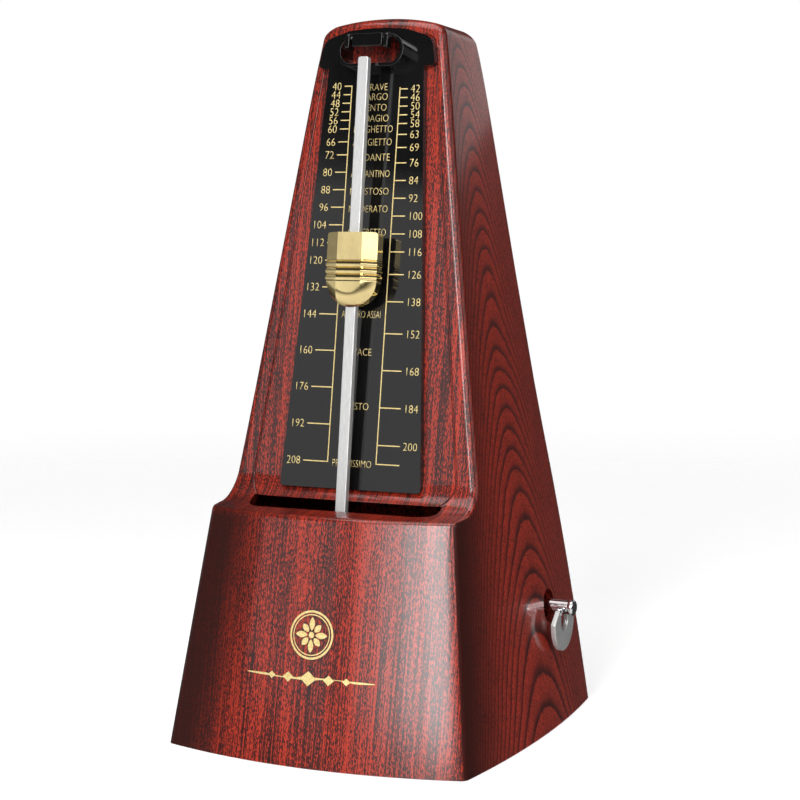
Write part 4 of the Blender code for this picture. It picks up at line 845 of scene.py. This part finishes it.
def panel_outline(gap, count=15):
    """Outline of the front panel in the front plane, moved inwards by a gap."""
    low_x, low_s = SEAM_LOW
    high_x, high_s = SEAM_HIGH
    return rounded_outline([
        (-low_x + gap, low_s + gap, PANEL_CORNER_RADIUS),
        (low_x - gap, low_s + gap, PANEL_CORNER_RADIUS),
        (high_x - gap, high_s - gap, PANEL_TOP_RADIUS),
        (-high_x + gap, high_s - gap, PANEL_TOP_RADIUS),
    ], count)


def seam_tube(blank):
    """Round cutter that follows the panel's outline along the skin."""
    tree = BVHTree.FromObject(blank, bpy.context.evaluated_depsgraph_get())
    outwards = (FRONT_PLANE.to_3x3() @ Vector((0.0, 0.0, 1.0))).normalized()
    outline = panel_outline(0.0)
    points = []
    for i, start in enumerate(outline):
        end = outline[(i + 1) % len(outline)]
        pieces = max(1, round((Vector(end) - Vector(start)).length / 2.5))
        for k in range(pieces):
            x, s = Vector(start).lerp(Vector(end), k / pieces)
            above = FRONT_PLANE @ Vector((x * MM, s * MM, 30.0 * MM))
            hit = tree.ray_cast(above, -outwards)[0]
            points.append(hit)
    curve = bpy.data.curves.new("seam", 'CURVE')
    curve.dimensions = '3D'
    curve.bevel_depth = SEAM_GROOVE * MM
    curve.bevel_resolution = 3
    spline = curve.splines.new('POLY')
    spline.points.add(len(points) - 1)
    for point, spot in zip(spline.points, points):
        point.co = (*spot, 1.0)
    spline.use_cyclic_u = True
    guide = link("seam_guide", curve)
    mesh = evaluated_mesh(guide)
    bpy.data.objects.remove(guide, do_unlink=True)
    return link("seam_cutter", mesh)


def slot_cutter():
    """Opening in the ledge that the pendulum swings in."""
    back = rail_face(SHOULDER_Z) + SLOT_BEHIND_RAILS
    outline = rounded_outline([
        (-SLOT_HALF_LENGTH, SLOT_FRONT_Y, SLOT_CORNER_RADIUS),
        (SLOT_HALF_LENGTH, SLOT_FRONT_Y, SLOT_CORNER_RADIUS),
        (SLOT_HALF_LENGTH, back, 0.0),
        (-SLOT_HALF_LENGTH, back, 0.0)], 13)
    spot = frame_at((0.0, 0.0, SLOT_TOP_Z - SLOT_CUT_HEIGHT / 2))
    return prism("slot_cutter", [outline], SLOT_CUT_HEIGHT, spot)


def make_case():
    """Case and front panel, parted by a grooved seam."""
    case = case_blank("case_body")
    boolean(case, seam_tube(case))
    panel = link("front_panel_body", case.data.copy())
    window = prism("window", [panel_outline(0.0)], SEAM_DEPTH, FRONT_PLANE)
    inside = prism("window_inside", [panel_outline(SEAM_GAP)], SEAM_DEPTH, FRONT_PLANE)
    boolean(case, window)
    boolean(panel, inside, 'INTERSECT')
    boolean(case, slot_cutter())
    boolean(panel, slot_cutter())
    spot = frame_at((0.0, KEY_AXIS.y, KEY_AXIS.z)) @ SCREW_ALONG_X
    inner, outer = KEY_HOLE_SPAN
    hole = [(0.0, outer), (KEY_HOLE_RADIUS, outer), (KEY_HOLE_RADIUS, inner), (0.0, inner)]
    boolean(case, turned("key_hole", hole, spot, 72))
    finish(smooth(case, CASE_SMOOTH_ANGLE), "mahogany", "case", ["case_shell"])
    finish(smooth(panel, CASE_SMOOTH_ANGLE), "mahogany", "case", ["front_panel"])
    make_bosses()


def make_bosses():
    """Screw bosses inside the case, above the base plate."""
    bore, outside = BOSS_RADII
    foot, top = BOSS_SPAN
    profile = [(outside, foot), (outside, top), (bore, top), (bore, foot), (outside, foot)]
    for i in range(4):
        low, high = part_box(f"case_screw_{i + 1}")
        middle = (low + high) / 2 / MM
        boss = turned(f"screw_boss_{i + 1}", profile, frame_at((middle.x, middle.y, 0.0)), 32)
        finish(smooth(boss), "mahogany", "case")


# ---------------------------------------------------------------- scale plate and clip
def head_outline():
    """Outline of the scale plate with its widened, arched head."""
    low_x, low_s = PLATE_BOTTOM
    neck_x, neck_s = PLATE_NECK
    right = [(low_x, low_s, 1.2), (neck_x, neck_s, 0.6), (HEAD_HALF_WIDTH, neck_s - 0.25, 1.4),
             (HEAD_HALF_WIDTH - 1.6, HEAD_TOP - 2.4, 4.4)]
    left = [(-x, s, radius) for x, s, radius in reversed(right)]
    crown = []
    for i in range(1, 8):
        share = i / 8 * 2 - 1
        s = HEAD_TOP + CROWN_RISE - CROWN_DROP * share * share
        crown.append((-share * CROWN_HALF_WIDTH, s, 0.0))
    return rounded_outline(right + crown + left, count=9)


def make_scale_plate():
    """Black scale plate with its collar, edges softened."""
    length, height = COLLAR_SIZE
    hole = oval(length - 2 * COLLAR_WALL, height - 2 * COLLAR_WALL, COLLAR_CENTRE)
    spot = FRONT_PLANE @ frame_at((0.0, 0.0, PLATE_FACE - PLATE_THICKNESS / 2))
    plate = prism("scale_plate_body", [head_outline(), hole], PLATE_THICKNESS, spot)
    finish(soften(plate, 0.35), "black_plastic", "case", ["scale_plate"])
    depth = COLLAR_REACH + 0.3
    spot = FRONT_PLANE @ frame_at((0.0, 0.0, PLATE_FACE + COLLAR_REACH - depth / 2))
    collar = prism("collar", [oval(length, height, COLLAR_CENTRE), hole], depth, spot)
    finish(soften(collar, 0.38), "black_plastic", "case")


def clip_point(x, up, out):
    """A point in the front plane's frame, measured from the clip's pin."""
    pin = FRONT_PLANE.inverted() @ Vector(JOINTS["clip_flip"]["pos_m"]) / MM
    return (pin.x + x, pin.y + up, pin.z + out)


def make_clip():
    """Clip block on the collar's mouth, and the ears that hold its pin."""
    width, height, thickness = CLIP_BLOCK
    low = -height + CLIP_ABOVE
    outline = rounded_outline([(-width / 2, low, 0.25), (width / 2, low, 0.25),
                               (width / 2, CLIP_ABOVE, 0.25), (-width / 2, CLIP_ABOVE, 0.25)], 5)
    spot = FRONT_PLANE @ frame_at(clip_point(0.0, 0.0, CLIP_OUT))
    block = prism("clip_block", [outline], thickness, spot)
    finish(soften(block, 0.22), "black_plastic", "clip", ["pendulum_clip"])
    half = CLIP_EAR_HALF_WIDTH
    foot, top = CLIP_EAR_SPAN
    outline = rounded_outline([(-half, foot, 0.5), (half, foot, 0.5), (half, top, 1.3), (-half, top, 1.3)])
    for name, side in (("left", -1.0), ("right", 1.0)):
        spot = FRONT_PLANE @ frame_at(clip_point(side * CLIP_EAR_X, 0.0, 0.0)) @ EAR_TURN
        ear = prism(f"clip_ear_{name}", [outline], CLIP_EAR_THICKNESS, spot)
        finish(soften(ear, 0.2), "black_plastic", "case")


# ---------------------------------------------------------------- pendulum
def make_rod():
    """Pendulum rod with softened edges."""
    half = ROD_SIZE[0] / 2
    low, high = ROD_ENDS
    outline = rounded_outline([(-half, low, 0.3), (half, low, 0.3),
                               (half, high, 0.7), (-half, high, 0.7)])
    rod = prism("rod_body", [outline], ROD_SIZE[1], PENDULUM @ ALONG_Y)
    finish(soften(rod, 0.28), "rod_steel", "pendulum", ["pendulum_rod"])


def weight_half_width(z):
    """Half width of the weight: square above, a half circle below."""
    half = WEIGHT_WIDTH / 2
    centre = -WEIGHT_HEIGHT / 2 + half
    top = WEIGHT_HEIGHT / 2
    corner = WEIGHT_CORNER
    if z > top - corner:
        return half - corner + math.sqrt(max(corner ** 2 - (z - top + corner) ** 2, 0.0))
    if z >= centre:
        return half
    return math.sqrt(max(half ** 2 - (z - centre) ** 2, 0.0))


def ridge(z):
    """Relief of the three grip ridges and of the fine grooves beside each."""
    relief = 0.0
    for i in range(RIDGE_COUNT):
        top = RIDGE_TOP - RIDGE_PITCH * i
        for below, height, spread in RIDGE_RELIEF:
            relief += height * math.exp(-((z - top + below) / spread) ** 2)
    return relief


def weight_front(x, z):
    """Y of the weight's front: a flat between two bevels, falling away round the bottom."""
    half = WEIGHT_WIDTH / 2
    centre = -WEIGHT_HEIGHT / 2 + half
    y = WEIGHT_FRONT + max(abs(x) - WEIGHT_FLAT, 0.0) * math.tan(WEIGHT_BEVEL)
    if z < centre:
        edge = 1 - min(math.hypot(x, z - centre) / half, 1.0)
        low = min((centre - z) / half, 1.0)
        y += WEIGHT_FALL * (1 - min(edge / WEIGHT_FALL_SHARE, 1.0)) ** 2 * low
    return y - ridge(z)


def weight_heights():
    """Heights of the weight's rows, close together at the ridges and the ends."""
    half = WEIGHT_WIDTH / 2
    top = WEIGHT_HEIGHT / 2
    centre = -top + half
    corner = WEIGHT_CORNER
    low, high = RIDGE_SPAN
    rows = [top - corner * (1 - math.cos(RIGHT_ANGLE * i / 6)) for i in range(7)]
    rows += [lerp(top - corner, high, i / 6) for i in range(1, 7)]
    rows += [high - (high - low) * i / RIDGE_ROWS for i in range(1, RIDGE_ROWS + 1)]
    rows.append(lerp(low, centre, 0.5))
    rows += [centre - half * math.sin(math.radians(1.0 + 87.5 * i / 22)) for i in range(23)]
    return sorted(set(round(z, 4) for z in rows), reverse=True)


def make_weight():
    """Brass sliding weight, lofted from sections across the rod."""
    shape = bmesh.new()
    columns = 17
    rows = []
    for z in weight_heights():
        half = weight_half_width(z) + max(ridge(z), -0.12) * 0.8
        flat = min(WEIGHT_FLAT, half * 0.82)
        stations = [lerp(flat, half, (i / 5) ** 0.8) for i in range(1, 6)]
        inner = [lerp(-flat, flat, i / (columns - 1)) for i in range(columns)]
        across = [-x for x in reversed(stations)] + inner + stations
        ring = [(x, weight_front(x, z), z) for x in across]
        ring.append((half, WEIGHT_BACK, z))
        ring.append((-half, WEIGHT_BACK, z))
        rows.append(ring)
    loops = bridge_rings(shape, rows)
    shape.faces.new(loops[0])
    shape.faces.new(loops[-1])
    bmesh.ops.triangulate(shape, faces=shape.faces)
    spot = PENDULUM @ frame_at((0.0, 0.0, WEIGHT_CENTRE))
    weight = link("weight_body", mesh_from("weight_body", shape, spot))
    half = CHANNEL_HALF_WIDTH
    front, back = CHANNEL_SPAN
    outline = [(-half, front), (half, front), (half, back), (-half, back)]
    boolean(weight, prism("channel", [outline], CHANNEL_LENGTH, spot))
    finish(smooth(weight, 20.0), "polished_brass", "weight", ["sliding_weight"])


# ---------------------------------------------------------------- key
def make_key():
    """Turned key stem and its folding half-moon wing."""
    end = KEY_TIP_X
    spot = frame_at((0.0, KEY_AXIS.y, KEY_AXIS.z)) @ SCREW_ALONG_X
    rim = KEY_TIP_RADIUS
    inner = rim - KEY_TIP_ROUND
    profile = [(0.0, end), (inner, end)]
    for i in range(1, 7):
        turn = RIGHT_ANGLE * i / 6
        profile.append((inner + KEY_TIP_ROUND * math.sin(turn), end - 0.9 * (1 - math.cos(turn))))
    shaft = KEY_SHAFT_RADIUS
    near = KEY_SHAFT_END_X
    profile += [(rim - 0.05, end - 1.5), (shaft + 0.05, end - 1.9), (shaft, end - 2.1),
                (shaft, near + 0.3), (shaft - 0.3, near), (KEY_SPIGOT_RADIUS, near),
                (KEY_SPIGOT_RADIUS, KEY_SPIGOT_X), (0.0, KEY_SPIGOT_X)]
    stem = turned("key_stem", profile, spot, 64)
    pin_spot = frame_at(WING_PIN) @ SCREW_ALONG_Y
    reach = PIN_HOLE_REACH
    hole = [(0.0, reach), (PIN_HOLE_RADIUS, reach), (PIN_HOLE_RADIUS, -reach), (0.0, -reach)]
    boolean(stem, turned("pin_hole", hole, pin_spot, 32))
    finish(smooth(stem, 30.0), "chrome", "winding", ["key_shaft"])
    make_wing(pin_spot)


def make_wing(pin_spot):
    """Half-moon wing that hangs from the stem's cross pin."""
    bowl = []
    for i in range(49):
        angle = math.radians(lerp(180.0, 360.0, i / 48))
        bowl.append((WING_HALF_WIDTH * math.cos(angle),
                     (WING_REACH - WING_SHOULDER) * math.sin(angle) - WING_SHOULDER))
    slot = WING_SLOT_HALF_WIDTH
    arm = WING_ARM_HALF_WIDTH
    top = KNUCKLE_RADIUS - 0.5
    outline = [(-arm, top)] + bowl + [(arm, top), (slot, top)]
    outline += arc((0.0, -WING_SLOT_REACH), slot, 360.0, 180.0, 25) + [(-slot, top)]
    wing = prism("key_wing_body", [outline], WING_THICKNESS, frame_at(WING_PIN) @ ALONG_X)
    finish(soften(wing, 0.25), "chrome", "key_wing", ["key_wing"], "satin_chrome")
    outer = KNUCKLE_RADIUS
    for name, side in (("front", -1.0), ("rear", 1.0)):
        low, high = slot + 0.05, arm
        profile = [(0.74, side * low), (outer - 0.2, side * low), (outer, side * (low + 0.2)),
                   (outer, side * (high - 0.25)), (outer - 0.25, side * high), (0.74, side * high),
                   (0.74, side * low)]
        knuckle = turned(f"wing_knuckle_{name}", profile, pin_spot, 40)
        finish(smooth(knuckle), "chrome", "key_wing")


# ---------------------------------------------------------------- printing
def tempo_place(tempo):
    """Distance up the front plane of a tempo's tick."""
    start, slope, bend = TEMPO_CURVE
    return start - slope * tempo - bend * tempo ** 2


def tempo_marks():
    """The standard series of tempos from 40 to 208."""
    marks = []
    for start, stop, step in ((40, 60, 2), (60, 72, 3), (72, 120, 4), (120, 144, 6), (144, 208, 8)):
        marks += range(start, stop, step)
    return marks + [208]


def print_frame(x, s):
    """Local frame on the scale plate's face."""
    return FRONT_PLANE @ frame_at((x, s, PLATE_FACE + PRINT_DEPTH / 4))


def printed_bar(pieces, low, high):
    """A printed rectangle between two corners on the plate."""
    middle = ((low[0] + high[0]) / 2, (low[1] + high[1]) / 2)
    half = ((high[0] - low[0]) / 2, (high[1] - low[1]) / 2)
    outline = [(-half[0], -half[1]), (half[0], -half[1]), (half[0], half[1]), (-half[0], half[1])]
    pieces.append(prism("bar", [outline], PRINT_DEPTH, print_frame(*middle)))


def printed_text(pieces, words, x, s, height, align, squeeze=1.0, width=None):
    """Printed characters; x is their left, middle or right, s their middle height."""
    curve = bpy.data.curves.new("text", 'FONT')
    curve.body = words
    curve.size = 1.0
    curve.align_x = align
    curve.offset = -0.012
    curve.resolution_u = 3
    guide = link("text_guide", curve)
    mesh = evaluated_mesh(guide)
    bpy.data.objects.remove(guide, do_unlink=True)
    ys = [v.co.y for v in mesh.vertices]
    xs = [v.co.x for v in mesh.vertices]
    scale = height / (max(ys) - min(ys))
    across = scale * squeeze
    if width is not None:
        across = min(across, width / (max(xs) - min(xs)))
    middle = (max(ys) + min(ys)) / 2
    size = Matrix.Diagonal((across * MM, scale * MM, 1.0, 1.0))
    mesh.transform(size @ Matrix.Translation((0.0, -middle, 0.0)))
    shape = bmesh.new()
    shape.from_mesh(mesh)
    sheet = bmesh.ops.extrude_face_region(shape, geom=shape.faces[:])
    moved = [item for item in sheet["geom"] if isinstance(item, bmesh.types.BMVert)]
    bmesh.ops.translate(shape, vec=(0.0, 0.0, PRINT_DEPTH / 2 * MM), verts=moved)
    bmesh.ops.recalc_face_normals(shape, faces=shape.faces)
    shape.to_mesh(mesh)
    shape.free()
    mesh.materials.clear()
    mesh.transform(print_frame(x, s))
    pieces.append(link("text", mesh))


def joined(name, pieces):
    """One object made of several."""
    shape = bmesh.new()
    for piece in pieces:
        shape.from_mesh(piece.data)
        bpy.data.objects.remove(piece, do_unlink=True)
    mesh = bpy.data.meshes.new(name)
    shape.to_mesh(mesh)
    shape.free()
    return link(name, mesh)


TEMPO_WORDS = (("GRAVE", 40.5), ("LARGO", 45.0), ("LENTO", 50.0), ("ADAGIO", 55.0), ("LARGHETTO", 60.0),
               ("ADAGIETTO", 66.0), ("ANDANTE", 73.0), ("ANDANTINO", 80.5), ("MAESTOSO", 88.5),
               ("MODERATO", 96.5), ("ALLEGRETTO", 107.0), ("ANIMATO", 119.0), ("ALLEGRO", 131.0),
               ("ALLEGRO ASSAI", 143.5), ("VIVACE", 160.0), ("PRESTO", 183.5), ("PRESTISSIMO", 208.0))


def make_scale_print():
    """Lines, ticks, numbers and tempo words on the scale plate."""
    pieces = []
    line = PRINT_LINE
    slowest, fastest = TEMPO_RANGE
    top, bottom = tempo_place(slowest), tempo_place(fastest)
    for side in (-1.0, 1.0):
        x = PRINT_X + side * PRINT_HALF_WIDTH
        drop = PRINT_RIGHT_DROP if side > 0 else 0.0
        printed_bar(pieces, (x - line, bottom - line), (x + line, top + line - drop))
    marks = [(tempo, -1.0 if i % 2 == 0 else 1.0) for i, tempo in enumerate(tempo_marks())]
    unnumbered = (fastest, 1.0)
    for tempo, side in marks + [unnumbered]:
        s = tempo_place(tempo)
        longest = TICK_ENDS[0] if side < 0 else TICK_ENDS[1]
        length = lerp(TICK_START, longest, (tempo - slowest) / (fastest - slowest))
        near = PRINT_X + side * PRINT_HALF_WIDTH
        far = near + side * length
        printed_bar(pieces, (min(near, far), s - line), (max(near, far), s + line))
        if (tempo, side) != unnumbered:
            align = 'RIGHT' if side < 0 else 'LEFT'
            x = far + side * PRINT_GAP
            printed_text(pieces, str(tempo), x, s, NUMBER_HEIGHT, align, NUMBER_SQUEEZE)
    for words, tempo in TEMPO_WORDS:
        s = tempo_place(tempo) - WORD_DROP
        printed_text(pieces, words, PRINT_X, s, WORD_HEIGHT, 'CENTER', WORD_SQUEEZE, WORD_WIDTH)
    finish(joined("scale_print", pieces), "black_plastic", "case", material="gilt_print")


def wrapped(name, loops):
    """A printed outline wrapped onto the bowed lower front."""
    flat = prism(name, loops, 1.0, Matrix.Identity(4))
    shape = bmesh.new()
    shape.from_mesh(flat.data)
    bpy.data.objects.remove(flat, do_unlink=True)
    lower = [face for face in shape.faces if face.normal.z < 0.5]
    bmesh.ops.delete(shape, geom=lower, context='FACES_ONLY')
    loose = [v for v in shape.verts if not v.link_faces]
    bmesh.ops.delete(shape, geom=loose, context='VERTS')
    bmesh.ops.triangulate(shape, faces=shape.faces)
    for vert in shape.verts:
        x, z = vert.co.x / MM, vert.co.y / MM
        vert.co = (x * MM, (front_skin(x, z) - WRAP_LIFT) * MM, z * MM)
    bmesh.ops.solidify(shape, geom=shape.faces[:], thickness=WRAP_THICKNESS * MM)
    bmesh.ops.recalc_face_normals(shape, faces=shape.faces)
    mesh = bpy.data.meshes.new(name)
    shape.to_mesh(mesh)
    shape.free()
    return link(name, mesh)


def petal(centre, angle, inner, outer, half_width, count=9):
    """A pointed oval that lies along a ray from the centre."""
    points = []
    for side in (1.0, -1.0):
        for i in range(count):
            share = i / count if side > 0 else 1 - i / count
            along = lerp(inner, outer, share)
            aside = side * half_width * math.sin(math.pi * share) ** 0.8
            points.append((centre[0] + along * math.cos(angle) - aside * math.sin(angle),
                           centre[1] + along * math.sin(angle) + aside * math.cos(angle)))
    return points


def make_ornament():
    """Generic gilt medallion, with a tapered rule below it."""
    pieces = []
    x, z = ORNAMENT
    for radii in ORNAMENT_RINGS:
        pieces.append(wrapped("ring", [arc((x, z), radius, 0.0, 354.0, 60) for radius in radii]))
    for i in range(PETALS):
        angle = math.tau * i / PETALS + math.pi / 2
        outline = petal((x, z), angle, PETAL_START, PETAL_REACHES[i % 2], PETAL_HALF_WIDTH)
        pieces.append(wrapped("petal", [outline]))
    pieces.append(wrapped("boss", [arc((x, z), ORNAMENT_BOSS, 0.0, 345.0, 24)]))
    thin, swell = RULE_HALF_HEIGHTS
    rule = []
    for side in (1.0, -1.0):
        for i in range(25):
            share = i / 24 * 2 - 1
            lift = swell * (1 - abs(share)) ** 0.5 + thin
            rule.append((x + side * share * RULE_HALF_LENGTH, RULE_Z + side * lift))
    pieces.append(wrapped("rule", [rule]))
    for offset, size in LOZENGES:
        middle = x + offset
        reach = size * LOZENGE_SHAPE
        pieces.append(wrapped("lozenge", [[(middle - reach, RULE_Z), (middle, RULE_Z - size),
                                           (middle + reach, RULE_Z), (middle, RULE_Z + size)]]))
    finish(joined("gilt_ornament", pieces), "mahogany", "case", material="gilt_print")


# ---------------------------------------------------------------- the CAD pieces that stay
def finish_cad_nodes():
    """Give every CAD node the worked finish of its slot."""
    for name, obj in NODES.items():
        obj.data.materials.clear()
        obj.data.materials.append(MATERIALS[SLOTS[name]])


# ---------------------------------------------------------------- stage
CAMERA_AIM = (0.01, 11.5, 99.98)
CAMERA_DISTANCE = 610.64
CAMERA_AZIMUTH = math.radians(24.502)
CAMERA_ELEVATION = math.radians(5.581)
CAMERA_LENS = 87.68
LIGHT_AIM = Vector((0.0, 0.0, 0.1))             # metres, like all sizes of the stage below
STRIP_POWERS = (5.6, 3.5, 1.8, 0.8)             # side by side, fading to the left
STRIP_START_DEG = 8.0
STRIP_STEP_DEG = 6.0
STRIP_SIZE = (0.137, 1.0)
SOFTBOXES = (   # name, azimuth, elevation, distance, size, power
    ("front_fill", -32.0, 10.0, 1.4, (0.60, 0.46), 0.75),
    ("left_rim", -82.0, 12.0, 1.3, (0.26, 0.8), 0.35),
    ("key", 38.0, 24.0, 1.4, (0.7, 0.8), 4.6),
    ("side_fill", 85.0, 25.0, 1.4, (0.8, 0.8), 1.8),
    ("rear_wall", 162.0, 23.0, 1.4, (0.9, 0.6), 0.9),
    ("overhead", 20.0, 80.0, 1.3, (1.3, 1.0), 11.0),
)
WORLD_STRENGTH = 0.04
WORLD_RAMPS = (     # axis of the direction, where its glow starts and is full, and how strong
    ("Z", -0.02, -0.30, 0.9),
    ("Y", 0.2, -0.4, 1.0),
)


def direction(azimuth, elevation):
    """Unit vector at an azimuth from the front and an elevation, in radians."""
    level = math.cos(elevation)
    return Vector((level * math.sin(azimuth), -level * math.cos(azimuth), math.sin(elevation)))


def make_camera():
    """Camera at the viewing angle, aimed at the middle of the metronome."""
    data = bpy.data.cameras.new("camera")
    data.lens = CAMERA_LENS
    data.sensor_width = 36.0
    data.clip_start = 0.01
    camera = link("camera", data)
    back = direction(CAMERA_AZIMUTH, CAMERA_ELEVATION)
    camera.location = (Vector(CAMERA_AIM) + back * CAMERA_DISTANCE) * MM
    camera.rotation_euler = (RIGHT_ANGLE - CAMERA_ELEVATION, 0.0, CAMERA_AZIMUTH)
    bpy.context.scene.camera = camera
    bpy.context.scene.view_settings.view_transform = 'Standard'


def softbox(name, azimuth_deg, elevation_deg, distance, size, power):
    """Rectangular area light aimed at the metronome; azimuth 0 is the front."""
    data = bpy.data.lights.new(name, 'AREA')
    data.shape = 'RECTANGLE'
    data.size, data.size_y = size
    data.energy = power
    light = link(name, data)
    towards = direction(math.radians(azimuth_deg), math.radians(elevation_deg))
    light.location = LIGHT_AIM + towards * distance
    light.rotation_euler = towards.to_track_quat('Z', 'Y').to_euler()


def make_stage():
    """Pale floor, backdrop, soft world and studio lights."""
    shape = bmesh.new()
    bmesh.ops.create_circle(shape, cap_ends=True, segments=96, radius=4000.0)
    floor = link("floor", mesh_from("floor", shape))
    floor.data.materials.append(pale_floor())
    floor.visible_glossy = False
    make_world()
    make_backdrop()
    for i, power in enumerate(STRIP_POWERS):
        azimuth = STRIP_START_DEG - STRIP_STEP_DEG * i
        softbox(f"strip_{i + 1}", azimuth, 23.0, 1.3, STRIP_SIZE, power)
    for settings in SOFTBOXES:
        softbox(*settings)


def make_world():
    """Faint even light, with a glow from below in front like that of a lit floor."""
    world = bpy.data.worlds.new("studio")
    bpy.context.scene.world = world
    world.use_nodes = True
    tree = world.node_tree
    ambient = tree.nodes["Background"]
    ambient.inputs["Color"].default_value = (1.0, 0.99, 0.98, 1.0)
    heading = tree.nodes.new("ShaderNodeSeparateXYZ")
    tree.links.new(tree.nodes.new("ShaderNodeTexCoord").outputs["Generated"], heading.inputs[0])
    glow = tree.nodes.new("ShaderNodeMath")
    glow.operation = 'MULTIPLY_ADD'
    glow.inputs[2].default_value = WORLD_STRENGTH
    for i, (axis, start, full, strength) in enumerate(WORLD_RAMPS):
        ramp = tree.nodes.new("ShaderNodeMapRange")
        tree.links.new(heading.outputs[axis], ramp.inputs["Value"])
        ramp.inputs["From Min"].default_value = full
        ramp.inputs["From Max"].default_value = start
        ramp.inputs["To Min"].default_value = strength
        ramp.inputs["To Max"].default_value = 0.0
        tree.links.new(ramp.outputs["Result"], glow.inputs[i])
    tree.links.new(glow.outputs[0], ambient.inputs["Strength"])


def make_backdrop():
    """White dome that only the camera sees, so that it puts no light on the metronome."""
    shape = bmesh.new()
    bmesh.ops.create_uvsphere(shape, u_segments=48, v_segments=24, radius=5000.0)
    dome = link("backdrop", mesh_from("backdrop", shape))
    white = Graph("backdrop_white")
    white.set(Base_Color=(0.0, 0.0, 0.0, 1.0), Specular_IOR_Level=0.0,
              Emission_Color=(1.0, 1.0, 1.0, 1.0), Emission_Strength=1.0)
    dome.data.materials.append(white.material)
    dome.visible_diffuse = False
    dome.visible_glossy = False
    dome.visible_transmission = False
    dome.visible_shadow = False


finish_cad_nodes()
make_case()
make_scale_plate()
make_clip()
make_rod()
make_weight()
make_key()
make_scale_print()
make_ornament()
make_stage()
make_camera()
